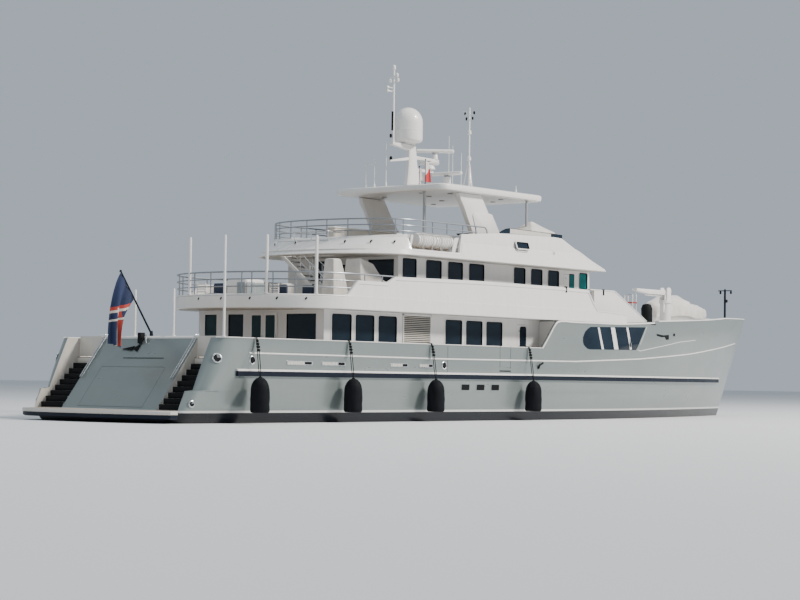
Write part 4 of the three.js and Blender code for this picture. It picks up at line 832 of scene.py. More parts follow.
def build_hardtop():
    """The roof over the sun deck on its posts and two broad legs."""
    roof = Shape()
    plan = lambda inset: rounded_plan(-7.4 + inset, 0.75 - inset, 3.4 - inset, 0.5 - min(inset, 0.3))
    stack(roof, plan, [(10.64, 0.5), (10.622, 0.3), (10.625, 0.12), (10.66, 0.03), (10.72, 0.0), (10.84, 0.0),
                       (10.9, 0.02), (10.945, 0.1), (10.98, 0.5), (11.03, 0.9), (11.04, 1.6)])
    spot = [(0.13, 10.64), (0.13, 10.612), (0.1, 10.605), (0.05, 10.605)]
    for x, y in ((-6.3, -1.2), (-5.4, -2.2), (-4.7, -0.4), (-3.2, -1.9), (-2.4, 0.6), (-1.6, -2.4),
                 (-0.6, -1.2), (-5.4, 1.8), (-1.0, 2.2)):
        roof.lathe(spot, (x, y, 0), sides=16, look=1)
    roof.place("hardtop_roof", [WHITE, GREY], "white_paint", replaces=["hardtop"], smooth=30)
    posts = Shape()
    profile = [(0.1, ON_SUN), (0.1, 7.64), (0.055, 7.66), (0.055, 10.58), (0.09, 10.6), (0.09, 10.625)]
    for x, y in ((-7.0, -1.9), (-0.5, -3.15), (-0.5, 3.15)):
        posts.lathe(profile, (x, y, 0), sides=12)
    posts.place("hardtop_posts", GREY, "steel")
    legs = Shape()
    body = [(-4.2, ON_SUN), (-2.3, ON_SUN), (-2.65, 8.84), (-3.35, 9.6), (-4.1, 10.618), (-5.84, 10.618),
            (-5.7, 10.3), (-5.45, 9.98), (-5.1, 9.4), (-4.85, 9.0)]
    fin = [(-4.3, 8.3), (-2.42, 8.3), (-2.6, 8.86), (-3.26, 9.74), (-3.4, 9.78), (-4.7, 9.78), (-4.8, 9.6)]
    legs.side(body, -3.08, -2.82).side(fin, -3.13, -3.06).mirror()
    legs.place("hardtop_legs", WHITE, "white_paint", replaces=["hardtop_leg_starboard", "hardtop_leg_port"],
               bevel=0.04)


RADARS = (("radar_upper", -3.76, 12.76, 1.85, -50, 12.5, 0.14),
          ("radar_middle", -4.2, 12.14, 0.95, -45, 11.92, 0.14),
          ("radar_lower", -2.78, 11.75, 1.7, -85, 11.16, 0.2))


def lamp(shape, at, r, look=0):
    x, y, z = at
    shape.lathe([(r * 0.4, z - 0.06), (r, z - 0.02), (r, z + r * 1.5), (r * 0.5, z + r * 2.1),
                 (0.01, z + r * 2.2)], (x, y, 0), sides=12, look=look)


def build_mast():
    """Mast, dome, scanners, instrument pole, whips and pennants."""
    aft, fore, dome_x = -7.0, -1.0, -5.88
    tower = Shape()
    column = [(ON_ROOF, -6.05, -4.85, 0.17), (11.3, -5.99, -4.98, 0.16), (12.0, -5.9, -5.22, 0.15),
              (12.93, -5.85, -5.36, 0.14), (13.03, -5.83, -5.38, 0.13)]
    tower.loft([[(x0, -w * 0.6, z), (x0 + 0.12, -w, z), (x1 - 0.12, -w, z), (x1, -w * 0.6, z),
                 (x1, w * 0.6, z), (x1 - 0.12, w, z), (x0 + 0.12, w, z), (x0, w * 0.6, z)]
                for z, x0, x1, w in column])
    tower.side([(-7.15, 12.93), (-5.6, 12.72), (-5.6, 13.03), (-7.15, 13.03)], -0.12, 0.12)
    tower.side([(-7.26, 12.1), (-5.8, 12.3), (-5.8, 12.45), (-7.26, 12.18)], -0.07, 0.07)
    lamp(tower, (-7.15, 0, 12.22), 0.07, 1)
    for name, x, z, _, _, arm, r in RADARS:
        tower.side([(-5.7, arm - 0.13), (x + r, arm - 0.09), (x + r + 0.06, arm - 0.06), (x + r + 0.06, arm),
                    (-5.7, arm + 0.04)], -0.11, 0.11)
        tower.lathe([(r * 1.15, arm), (r * 1.15, arm + 0.03), (r, arm + 0.05), (r * 0.92, z - 0.03),
                     (r * 0.8, z - 0.001)], (x, 0, 0), sides=18)
    tower.box(-4.5, -4.22, -0.17, -0.11, 11.95, 12.2)
    tower.lathe([(0.07, 13.03), (0.055, 13.2), (0.05, 16.45), (0.03, 16.55)], (aft, 0, 0), sides=10)
    tower.tube([(aft, -0.25, 15.9), (aft, 0.25, 15.9)], 0.026)
    tower.tube([(aft, -0.2, 16.15), (aft, 0.2, 16.15)], 0.02)
    for y, z in ((0.24, 15.93), (-0.24, 15.93), (-0.19, 16.17)):
        lamp(tower, (aft, y, z), 0.07)
    lamp(tower, (aft, 0, 16.52), 0.09)
    for z in (15.45, 15.62):
        tower.lathe([(0.03, 0), (0.035, 0.2), (0.09, 0.36)], (aft, 0.03, z), (-0.9, 0.35, 0.05), 12)
    tower.box(-7.09, -7.05, -0.05, 0.05, 13.6, 14.5, 1)
    lamp(tower, (-7.18, 0, 13.3), 0.06, 1)
    tower.lathe([(0.3, 12.0), (0.3, 12.02), (0.22, 12.18)], (-4.2, 0, 0), sides=16)
    tower.place("mast_tower", [WHITE, BLACK], "white_paint", replaces=["mast"], bevel=0.012)
    profile = [(0.36, 13.042), (0.36, 13.1), (0.5, 13.12), (0.62, 13.15), (0.68, 13.21), (0.7, 13.3),
               (0.7, 14.08)]
    profile += [(0.7 * math.cos(a), 14.08 + 0.73 * math.sin(a)) for a in np.linspace(0.08, 1.56, 14)]
    dome = Shape().lathe(profile, (dome_x, 0, 0), sides=44)
    dome.lathe([(0.7, 13.7), (0.709, 13.71), (0.709, 13.74), (0.7, 13.75)], (dome_x, 0, 0), sides=44)
    dome.place("radome_dome", WHITE, "white_paint", replaces=["radome"])
    for name, x, z, length, turn, _, _ in RADARS:
        scanner = Shape().lathe([(0.12, z + 0.001), (0.15, z + 0.02), (0.15, z + 0.06), (0.1, z + 0.09)],
                                (x, 0, 0), sides=20, look=1)
        c, s = math.cos(math.radians(turn)), math.sin(math.radians(turn))
        rings = []
        for at, shrink in zip((-0.5, -0.475, 0.475, 0.5), (0.6, 1, 1, 0.6)):
            oval = [(0.1 * math.cos(t) * shrink, 0.095 * math.sin(t) * shrink)
                    for t in np.linspace(0, 2 * math.pi, 17)[:-1]]
            rings.append([(x + at * length * c - d * s, at * length * s + d * c, z + 0.16 + h)
                          for d, h in oval])
        scanner.loft(rings)
        scanner.place(name + "_scanner", [WHITE, GREY], "white_paint", name, [name])
    pole = Shape()
    pole.lathe([(0.05, ON_ROOF), (0.045, 13.0), (0.035, 15.3), (0.02, 15.34)], (fore, 0, 0), sides=10)
    for i in range(3):
        a = i * 2 * math.pi / 3
        pole.tube([(fore + 0.35 * math.cos(a), 0.35 * math.sin(a), 11.04),
                   (fore + 0.05 * math.cos(a), 0.05 * math.sin(a), 12.55), (fore, 0, 12.6)], 0.025)
    pole.tube([(fore, -0.3, 15.0), (fore, 0.3, 15.0)], 0.022)
    pole.tube([(fore, -0.2, 14.75), (fore, 0.2, 14.75)], 0.016)
    for y, z, r in ((-0.28, 15.04, 0.05), (0.28, 15.04, 0.045), (-0.19, 14.78, 0.045), (0.19, 14.77, 0.05)):
        lamp(pole, (fore, y, z), r, 1)
    for k in range(3):
        a = k * 2.1
        tip = (fore + 0.1 * math.cos(a), 0.28 + 0.1 * math.sin(a), 15.16)
        pole.tube([(fore, 0.28, 15.16), tip], 0.008, 6)
    for z in (12.7, 14.0):
        pole.lathe([(0.05, z), (0.1, z + 0.02), (0.09, z + 0.18), (0.05, z + 0.22)], (fore, 0, 0), sides=14)
    pole.place("instrument_pole", [WHITE, BLACK], "white_paint", replaces=["instrument_mast"])
    whips = Shape()
    for x, y, z1 in ((-7.02, 1.63, 12.23), (-6.97, 1.14, 12.28), (-6.9, 0.49, 13.02), (-0.95, 1.3, 14.02),
                     (-0.96, 1.05, 13.51), (-0.45, 0.9, 13.2), (-0.49, -2.5, 11.39)):
        foot = 10.9 if x < -6.95 else 10.96
        profile = [(0.05, foot), (0.05, foot + 0.18), (0.022, foot + 0.25), (0.014, z1)]
        whips.lathe(profile, (x, y, 0), sides=8)
    whips.tube([(-7.02, 1.63, 12.06), (-6.97, 1.14, 12.06)], 0.012, 6)
    whips.place("whip_aerials", WHITE, "white_paint")
    staffs = Shape()
    flags = (("pennant_red", -7.05, -2.0, 12.1, PENNANT, 1.0, 0.36),
             ("pennant_white", -6.93, -1.55, 11.8, CANVAS, 0.6, 0.26))
    for _, x, y, top, _, _, _ in flags:
        staffs.lathe([(0.04, 10.93), (0.04, 11.0), (0.016, 11.02), (0.016, top), (0.03, top + 0.01),
                      (0.03, top + 0.04)], (x, y, 0), sides=8)
    staffs.place("pennant_staffs", NAVY, "navy_paint")
    for name, x, y, top, look, drop, wide in flags:
        rows = [[(x + 0.018 + wide * u * (0.75 + 0.25 * v), y + 0.05 * math.sin(u * 9 + v * 2) * u,
                  top - 0.03 - drop * v - 0.3 * u * wide * (1 - v)) for u in np.linspace(0, 1, 13)]
                for v in np.linspace(0, 1, 19)]
        flag = Shape().loft(rows, 0, False, False).place(name, look, "cover_canvas", smooth=180)


def build_stair():
    """The stair from the upper deck to the sun deck with its rails."""
    stair = Shape()
    foot, head, x0, x1 = (-1.3, ON_UPPER), (1.97, 7.56), -12.6, -11.8
    run = Vector((head[0] - foot[0], head[1] - foot[1]))
    for x in (x0, x1):
        stair.loft([[(x + a, foot[0] + 0.02, ON_UPPER), (x + a, foot[0] + 0.27, ON_UPPER),
                     (x + a, head[0], head[1] - 0.2), (x + a, head[0], head[1])] for a in (-0.028, 0.028)], 1)
    for i in range(1, 12):
        y, z = foot[0] + run.x * i / 12, foot[1] + run.y * i / 12
        stair.box(x0 + 0.03, x1 - 0.03, y, y + 0.25, z - 0.018, z + 0.018, 2)
        stair.box(x0 + 0.03, x1 - 0.03, y, y + 0.02, z - 0.045, z - 0.018, 0)
    for x in (x0 - 0.02, x1 + 0.02):
        for lift, radius in ((0.9, 0.024), (0.47, 0.015)):
            stair.tube([(x, foot[0] - 0.12, foot[1] + lift - 0.25), (x, foot[0] + 0.05, foot[1] + lift),
                        (x, head[0] - 1.25, head[1] - 0.98 + lift)], radius, 8, 0)
        for t in (0.03, 0.22, 0.42, 0.6):
            y, z = foot[0] + run.x * t + 0.1, foot[1] + 0.06 + run.y * t
            stair.tube([(x, y, z), (x, y, z + 0.84)], 0.018, 8, 0)
    for x in (-12.72, -11.68):
        for z in (8.05, 8.45):
            stair.tube([(x, -0.95, z), (x, 2.05, z)], 0.02, 8, 0)
        for y in (-0.95, 0.05, 1.05, 2.05):
            stair.tube([(x, y, ON_SUN), (x, y, 8.45)], 0.02, 8, 0)
    stair.tube([(-12.72, -0.95, 8.45), (-11.68, -0.95, 8.45)], 0.02, 8, 0)
    stair.place("sun_deck_stair", [STEEL, WHITE, BLACK], "white_paint", replaces=["deck_stair"], bevel=0.004)


def folds(t, seed, count=5):
    """A gentle repeating ripple for cloth, from -1 to 1."""
    rng = np.random.default_rng(seed)
    rows = rng.uniform(0, 2 * math.pi, count), rng.uniform(0.4, 1.0, count)
    return sum(w * math.sin(t * (k + 2) + p) for k, (p, w) in enumerate(zip(*rows))) / count


def cover(name, rings, seed, ripple=0.02):
    """An open canvas sheet from the hem up, through level rings that get folds between their corners."""
    dense = []
    for low, high in zip(rings, rings[1:]):
        for t in (0, 0.25, 0.5, 0.75):
            dense.append([Vector(a).lerp(Vector(b), t) for a, b in zip(low, high)])
    dense.append([Vector(p) for p in rings[-1]])
    n = len(dense[0])
    for r, ring in enumerate(dense):
        heart = sum(ring, Vector()) / n
        for k, p in enumerate(ring):
            out = Vector((p.x - heart.x, p.y - heart.y, 0))
            if out.length > 0.05:
                turn = 2 * math.pi * k / n
                amount = folds(turn, seed) + 0.5 * folds(turn * 3 + r * 0.4, seed + 9)
                ring[k] = p + out.normalized() * ripple * amount * (1 - 0.75 * r / len(dense))
    sheet = Shape().loft(dense, 0, False)
    sheet.add(dense[-1], [range(n)])
    piece = sheet.place(name, CANVAS, "cover_canvas", smooth=180)
    smooth = piece.modifiers.new("soft", "SUBSURF")
    smooth.levels = smooth.render_levels = 1
    baked(piece)


def box_ring(x0, x1, y0, y1, z, r, tilt=0.0):
    """Rounded level ring; tilt raises its forward edge."""
    return [((x0 + x1) / 2 + a, (y0 + y1) / 2 + b, z + tilt * a) for a, b in rounded(x1 - x0, y1 - y0, r, 6)]


def build_aft_deck():
    """Loose furniture on the upper aft deck: a tub with glass sides, slatted chairs, covered pieces."""
    z = UPPER_Z
    hidden = Shape()
    for x0, x1, y0, y1, top in ((-14.3, -13.8, -2.62, -2.38, 6.8), (-12.6, -11.2, -2.75, -2.25, 6.3),
                                (-13.3, -12.8, -1.05, -0.65, 5.85), (-14.45, -14.05, -0.1, 0.3, 5.85)):
        stack(hidden, lambda i: [(a, b) for a, b, _ in box_ring(x0 + i, x1 - i, y0 + i, y1 - i, 0, 0.08)],
              [(z + 0.002, 0.03), (z + 0.03, 0.0), (top - 0.03, 0.0), (top, 0.04)])
    hidden.place("stowed_furniture", GREY, "white_paint")
    tall = lambda aft, fore, half, h: box_ring(aft, fore, -2.5 - half, -2.5 + half, h, 0.04)
    cover("tall_cover", [tall(-14.5, -13.42, 0.36, z + 0.05), tall(-14.5, -13.5, 0.35, z + 0.6),
                         tall(-14.47, -13.72, 0.3, 6.5), tall(-14.42, -13.9, 0.26, 7.02),
                         tall(-14.39, -13.94, 0.23, 7.08), tall(-14.3, -14.05, 0.1, 7.1)],
          3, 0.012)
    wedge = lambda aft, fore, half, h, tilt=0.0: box_ring(aft, fore, -2.5 - half, -2.5 + half, h, 0.05, tilt)
    cover("wedge_cover", [wedge(-12.66, -11.0, 0.5, z + 0.05), wedge(-12.7, -11.0, 0.5, z + 0.6),
                          wedge(-12.78, -10.95, 0.49, 6.12, -0.04), wedge(-12.84, -10.97, 0.48, 6.22, -0.04),
                          wedge(-12.84, -11.2, 0.46, 6.5, -0.3), wedge(-12.78, -11.72, 0.42, 6.98, -0.35),
                          wedge(-12.72, -11.82, 0.38, 7.06, -0.25), wedge(-12.5, -12.0, 0.15, 7.1)],
          5, 0.014)
    for n, (x, y, wide, top) in enumerate(((-13.05, -0.85, 0.36, 6.02), (-14.25, 0.1, 0.32, 6.05))):
        square = lambda half, h: box_ring(x - half, x + half, y - half, y + half, h, 0.1)
        cover("chair_cover_%d" % (n + 1), [square(wide, z + 0.08), square(wide * 0.95, 5.5),
                                           square(wide * 0.85, top - 0.06), square(wide * 0.5, top)],
              7 + n)
    tub = Shape()
    stack(tub, lambda i: rounded_plan(-17.65 + i, -16.45 - i, 0.6 - i, 0.15),
          [(ON_UPPER, 0.04), (5.05, 0.0), (6.02, 0.0), (6.08, 0.03), (6.1, 0.1), (6.07, 0.2), (5.98, 0.24)])
    for at, wide, u in (((-17.33, -0.6), 0.5, AHEAD), ((-16.77, -0.6), 0.5, AHEAD),
                        ((-17.65, -0.29), 0.44, -PORT)):
        window(tub, (*at, 5.62), wide, 0.62, u, r=0.03, trim=0.0, proud=0.015, sink=0.005)
    tub.place("deck_tub", [WHITE, GREY, PALE_GLASS], "white_paint", bevel=0.006)
    chairs = Shape()
    for x, y, look in ((-15.45, 0.0, 0), (-17.2, 2.75, 0)):
        for leg_x in (-0.25, 0.25):
            for leg_y in (-0.25, 0.25):
                chairs.box(x + leg_x - 0.025, x + leg_x + 0.025, y + leg_y - 0.025, y + leg_y + 0.025,
                           ON_UPPER, 5.45 if leg_x < 0 else 6.0, look)
        for i in range(5):
            chairs.box(x - 0.28 + i * 0.12, x - 0.2 + i * 0.12, y - 0.28, y + 0.28, 5.42, 5.45, look)
        for i in range(4):
            chairs.box(x + 0.235, x + 0.265, y - 0.28, y + 0.28, 5.58 + i * 0.11, 5.65 + i * 0.11, look)
    chairs.place("slatted_chairs", [WHITE, NAVY], "white_paint", bevel=0.006)
    seats = Shape()
    for x, y in ((-14.9, 0.05), (-13.7, -0.45), (-16.9, 1.95)):
        cushion = [(5.3, 0.04), (5.32, 0.0), (5.46, 0.0), (5.5, 0.02), (5.53, 0.1)]
        block(seats, x, y, 0.62, 0.62, 0.12, cushion)
        stack(seats, lambda i: [(x + 0.26 + a, y + b) for a, b in rounded(0.16 - i, 0.62 - 2 * i, 0.06)],
              [(5.5, 0.02), (5.54, 0.0), (5.9, 0.0), (5.98, 0.03)])
        for dx in (-0.26, 0.26):
            for dy in (-0.26, 0.26):
                seats.tube([(x + dx, y + dy, ON_UPPER), (x + dx, y + dy, 5.32)], 0.025, 8, 1)
    seats.place("lounge_seats", [NAVY_CLOTH, WHITE], "navy_paint")


def build_sun_deck():
    """Liferafts, helm, furniture and low windscreen of the sun deck."""
    rafts = Shape()
    for x in (-9.22, -7.9):
        profile = [(0.0, -0.66), (0.2, -0.65), (0.29, -0.61), (0.31, -0.56)]
        for t in np.arange(-0.5, 0.5, 0.125):
            profile += [(0.305, t - 0.03), (0.34, t - 0.015), (0.34, t + 0.04), (0.305, t + 0.055)]
        profile += [(0.31, 0.56), (0.29, 0.61), (0.2, 0.65), (0.0, 0.66)]
        rafts.lathe(profile, (x, -3.62, 8.15), (1, 0, 0), 28)
        for t in (-0.36, 0.39):
            rafts.lathe([(0.34, t - 0.03), (0.348, t - 0.02), (0.348, t + 0.02), (0.34, t + 0.03)],
                        (x, -3.62, 8.15), (1, 0, 0), 28, 1)
        for dx in (-0.35, 0.35):
            arc = [(x + dx, -3.6 + 0.35 * math.cos(a), 8.15 + 0.35 * math.sin(a))
                   for a in np.linspace(math.pi * 1.05, math.pi * 1.95, 12)]
            rafts.tube(arc, 0.022, 8, 2)
            rafts.tube([arc[2], (x + dx, -3.9, 7.62)], 0.022, 8, 2)
            rafts.tube([arc[-3], (x + dx, -3.3, 7.62)], 0.022, 8, 2)
    for y in (-3.9, -3.3):
        rafts.tube([(-10.3, y, 7.63), (-7.65, y, 7.63)], 0.022, 8, 2)
    rafts.side([(-10.62, 7.7), (-10.5, 7.7), (-10.35, 8.3), (-10.5, 8.34)], -3.95, -3.9)
    rafts.side([(-7.5, 7.7), (-7.25, 7.7), (-6.98, 8.4), (-7.3, 8.36)], -3.95, -3.9)
    rafts.box(-10.62, -7.22, -3.22, -3.17, ON_SUN, 8.42, 0)
    rafts.mirror().place("liferaft_canisters", [WHITE, CREAM, STEEL], "white_paint",
                         replaces=["liferafts_starboard", "liferafts_port"])
    helm = Shape()
    helm.side([(-1.6, ON_SUN), (0.3, ON_SUN), (0.3, 8.9), (0.2, 9.0), (-0.6, 9.05), (-1.5, 8.6)], -1.5, 1.5)
    for y0, y1 in ((-1.45, -0.5), (-0.45, 0.45), (0.5, 1.45)):
        helm.loft([[(0.2, y, 8.99), (0.23, y, 8.97), (-0.05, y, 9.18), (-0.08, y, 9.2)] for y in (y0, y1)], 1)
    helm.place("helm_console_body", [WHITE, GLASS], "white_paint", replaces=["helm_console"], bevel=0.02)
    seat = Shape()
    stack(seat, lambda i: rounded_plan(-3.4 + i, -2.0 - i, 1.6 - i, 0.2),
          [(ON_SUN, 0.05), (7.65, 0.0), (8.2, 0.0), (8.3, 0.1)])
    block(seat, -0.3, -3.1, 1.2, 1.0, 0.12, [(ON_SUN, 0.02), (7.63, 0.0), (9.0, 0.0), (9.03, 0.03)])
    block(seat, -6.8, 1.9, 5.0, 0.6, 0.15, [(ON_SUN, 0.06), (7.7, 0.06), (7.72, 0.0), (8.9, 0.0)], 1)
    block(seat, -6.8, 1.9, 5.06, 0.66, 0.15, [(8.901, 0.0), (8.95, 0.0), (8.97, 0.03)])
    seat.place("sun_deck_seats", [WHITE, CREAM], "white_paint", bevel=0.01)
    x, y = -0.1, -3.12
    peak = lambda k, z: box_ring(x - 0.8 * k, x + 1.25 * k, y - 0.66 * k, y + 0.62 * k, z, 0.1 * k)
    cover("helm_cover", [peak(1.0, 8.95), peak(0.99, 9.1), peak(0.96, 9.15), peak(0.5, 9.38),
                         peak(0.1, 9.62)], 11, 0.01)
    screen = Shape()
    line = [(-3.85, 8.8, 8.83), (-3.65, 8.81, 8.93), (-3.35, 8.82, 9.03), (-3.0, 8.84, 9.08),
            (-1.3, 8.86, 9.06), (0.4, 8.88, 9.04), (1.35, 8.85, 9.02)]
    for n, ((x0, a0, b0), (x1, a1, b1)) in enumerate(zip(line, line[1:])):
        screen.loft([[(x, -4.0, a), (x, -4.0, b), (x, -3.97, b), (x, -3.97, a)]
                     for x, a, b in ((x0, a0, b0), (x1, a1, b1))], (2, 2, 2, 1, 1, 2)[n])
    screen.tube([(x, -3.985, b) for x, _, b in line], 0.018, 8, 3)
    for x, a, b in (line[3], line[5], line[6]):
        screen.tube([(x, -3.985, a), (x, -3.985, b)], 0.02, 8, 3 if x > 0 else 0)
    screen.mirror().place("low_windscreen", [WHITE, CREAM, GLASS, BLACK], "white_paint")


def build_foredeck():
    """Covered tender, crane, deck gear, fore pole and windlass."""
    rows = [(15.9, 0.5, 5.1, 6.25), (16.5, 0.9, 4.98, 6.5), (17.3, 1.05, 4.95, 6.8), (18.5, 1.05, 4.95, 6.8),
            (19.2, 1.0, 4.97, 6.45), (20.4, 0.75, 5.05, 6.38), (21.5, 0.35, 5.4, 6.2),
            (21.9, 0.08, 5.7, 6.05)]
    xs = [row[0] for row in rows]
    fine = sorted({*xs, *np.linspace(15.9, 21.9, 31)})
    at = lambda x: [float(np.interp(x, xs, [row[k] for row in rows])) for k in (1, 2, 3)]
    tender = Shape()
    rings = []
    section = ((0.0, 0.0), (0.35, 0.02), (0.75, 0.2), (0.95, 0.38), (0.99, 0.46), (0.96, 0.5), (0.88, 0.5))
    for x in fine:
        half, low, high = at(x)
        star = [(x, -half * a, low + (high - low) * b) for a, b in section]
        rings.append(star + [(a, -b, c) for a, b, c in star[:0:-1]])
    tender.loft(rings)
    for x in (17.2, 20.2):
        tender.box(x - 0.08, x + 0.08, -0.6, 0.6, ON_FORE, 5.12)
        tender.box(x - 0.06, x + 0.06, -0.72, -0.55, 5.0, 5.34).box(x - 0.06, x + 0.06, 0.55, 0.72, 5.0, 5.34)
    tender.place("tender_hull", WHITE, "white_paint", replaces=["tender"], smooth=50)
    section = ((1.005, 0.36), (1.015, 0.43), (1.01, 0.5), (0.97, 0.64), (0.93, 0.78), (0.6, 0.88),
               (0.22, 0.985), (0.0, 1.0))
    grid = []
    for i, x in enumerate([15.88] + fine):
        half, low, high = at(max(x, 15.9))
        star = []
        for a, b in section:
            sag = 0.02 * math.sin(a * 9) * math.sin(x * 5.2) + 0.012 * math.sin(x * 13 + a * 7)
            z = low + (high - low) * (b if i else 0.36) + (sag if 0.1 < a < 1 else 0)
            star.append((x, -half * a - (0.012 * math.sin(x * 9) if a > 0.9 else 0), z))
        grid.append(star + [(a, -b, c) for a, b, c in star[-2::-1]])
    canvas = Shape().loft(grid, 0, False, False)
    piece = canvas.place("tender_cover", CANVAS, "cover_canvas", smooth=180)
    crane_y = -2.3
    column = Shape()
    column.lathe([(0.42, ON_FORE), (0.42, 4.8), (0.32, 4.85), (0.3, 5.0), (0.28, 6.12), (0.33, 6.16),
                  (0.33, 6.3), (0.2, 6.32)], (13.8, crane_y, 0), sides=24)
    for side in (-1, 1):
        y0, y1 = sorted((crane_y + side * 0.163, crane_y + side * 0.242))
        column.side([(13.58, 6.2), (14.02, 6.2), (14.0, 6.9), (13.9, 7.0), (13.7, 7.0), (13.6, 6.9)], y0, y1)
    column.side([(13.42, 5.65), (13.52, 5.65), (13.62, 6.15), (13.55, 6.2), (13.45, 6.2)], -2.42, -2.18)
    column.place("crane_post", WHITE, "white_paint", "crane_column", ["crane_column"], bevel=0.01)
    boom = Shape()
    boom.side([(10.7, 6.72), (11.8, 6.6), (14.1, 6.6), (14.1, 6.84), (10.7, 6.84)], -2.45, -2.15)
    boom.side([(11.9, 6.5), (13.3, 6.5), (13.5, 6.6), (11.7, 6.6)], -2.36, -2.24, 0)
    boom.lathe([(0.06, -0.24), (0.06, 0.24)], (13.8, crane_y, 6.72), (0, 1, 0), 20, 1)
    boom.lathe([(0.07, -0.12), (0.07, 0.12)], (10.8, crane_y, 6.77), (0, 1, 0), 20, 1)
    boom.tube([(10.8, crane_y, 6.72), (10.8, crane_y, 6.56)], 0.025, 8, 1)
    boom.place("crane_arm", [WHITE, STEEL], "white_paint", "crane_boom", ["crane_boom"], bevel=0.012)
    gear = Shape()
    for x in (10.12, 10.46):
        gear.tube([(x, -2.55, 5.0), (x, -2.55, 6.5), (x, -2.05, 6.5), (x, -2.05, 5.0)], 0.03, 8, 0)
    gear.side([(10.1, 6.02), (10.48, 6.02), (10.48, 6.1), (10.1, 6.1)], -2.58, -2.02, 1)
    gear.side([(10.1, ON_FORE), (10.48, ON_FORE), (10.48, 5.02), (10.1, 5.02)], -2.58, -2.02, 0)
    cowl = [(0.3, ON_FORE), (0.3, 5.2), (0.29, 5.5), (0.3, 5.75), (0.22, 5.95), (0.05, 6.0)]
    gear.lathe(cowl, (10.4, -3.25, 0), sides=20, look=2)
    gear.tube([(11.3, -2.95, ON_FORE), (11.3, -2.95, 5.5), (11.1, -2.95, 5.62)], 0.035, 8, 0)
    for y in (-0.35, 0.35):
        gear.lathe([(0.16, ON_FORE), (0.16, 4.8), (0.11, 4.85), (0.11, 5.3), (0.16, 5.36), (0.16, 5.42),
                    (0.05, 5.44)], (21.95 + 0.4, y * 3.4, 0), sides=16, look=3)
    gear.place("foredeck_gear", [WHITE, RED, BLACK, STEEL], "white_paint", smooth=40)
    pole_x = 24.2
    pole = Shape()
    profile = [(0.12, ON_FORE), (0.12, 4.79), (0.065, 4.82), (0.06, 7.3), (0.04, 7.4)]
    pole.lathe(profile, (pole_x, 0, 0), sides=12)
    pole.tube([(pole_x, -0.45, 7.3), (pole_x, 0.45, 7.3)], 0.028)
    for y in (-0.4, 0.3):
        pole.lathe([(0.03, 7.28), (0.06, 7.24), (0.06, 7.14), (0.03, 7.1)], (pole_x, y, 0), sides=12)
    pole.lathe([(0.05, 6.6), (0.08, 6.63), (0.08, 6.75), (0.05, 6.78)], (pole_x, -0.1, 0), sides=12)
    pole.place("fore_pole", NAVY, "navy_paint", replaces=["foremast"])
    windlass = Shape()
    windlass.box(22.6, 23.5, -0.5, 0.5, ON_FORE, 4.9)
    for y in (-0.42, 0.42):
        windlass.lathe([(0.15, 4.9), (0.15, 4.95), (0.1, 5.0), (0.1, 5.2), (0.16, 5.3), (0.16, 5.34),
                        (0.02, 5.35)], (23.05, y, 0), sides=18)
    windlass.lathe([(0.2, -0.5), (0.2, -0.45), (0.12, -0.4), (0.12, 0.4), (0.2, 0.45), (0.2, 0.5)],
                   (23.05, 0, 5.15), (0, 1, 0), 18)
    windlass.place("windlass_gear", STEEL, "steel", replaces=["windlass"], bevel=0.01)


# Windows, doors and hull fittings

MAIN_HALF, MAIN_AFT, UPPER_HALF, UPPER_AFT = 3.7, -16.1, 3.3, -10.6


def rounded(w, h, r, steps=5):
    """Rounded rectangle about the origin, anticlockwise."""
    r = min(r, w / 2 - 0.001, h / 2 - 0.001)
    points = []
    for q, (a, b) in enumerate(((1, 1), (-1, 1), (-1, -1), (1, -1))):
        for i in range(steps + 1):
            t = (q + i / steps) * math.pi / 2
            points.append((a * (w / 2 - r) + r * math.cos(t), b * (h / 2 - r) + r * math.sin(t)))
    return points


def window(s, centre, w, h, u=AHEAD, v=UP, r=0.09, trim=0.09, proud=0.024, glass=2, sink=0.045):
    """A pane in a black gasket, with a raised white surround; looks are white, black, glass."""
    centre, out = Vector(centre), u.cross(v).normalized()

    def ring(grow, lift):
        return [centre + u * a + v * b + out * lift for a, b in rounded(w + 2 * grow, h + 2 * grow, r + grow)]

    if trim:
        s.loft([ring(trim, -0.01), ring(trim, proud - 0.008), ring(trim - 0.01, proud), ring(0.02, proud),
                ring(0.015, 0.0)], 0, False)
    face = ring(-0.03, proud - sink)
    s.loft([ring(0.025, -0.06), ring(0.025, proud - 0.008), ring(-0.022, proud - 0.008), face], 1, False)
    s.add(face, [range(len(face))], glass)


def side_windows(s, rows, half, glass=2, **more):
    for x0, x1, z0, z1 in rows:
        window(s, ((x0 + x1) / 2, -half, (z0 + z1) / 2), x1 - x0, z1 - z0, glass=glass, **more)


def end_windows(s, rows, x, z0, z1, u, v=UP, **more):
    for y0, y1, *look in rows:
        glass = look[0] if look else 2
        window(s, (x, (y0 + y1) / 2, (z0 + z1) / 2), y1 - y0, z1 - z0, u, v, glass=glass, **more)


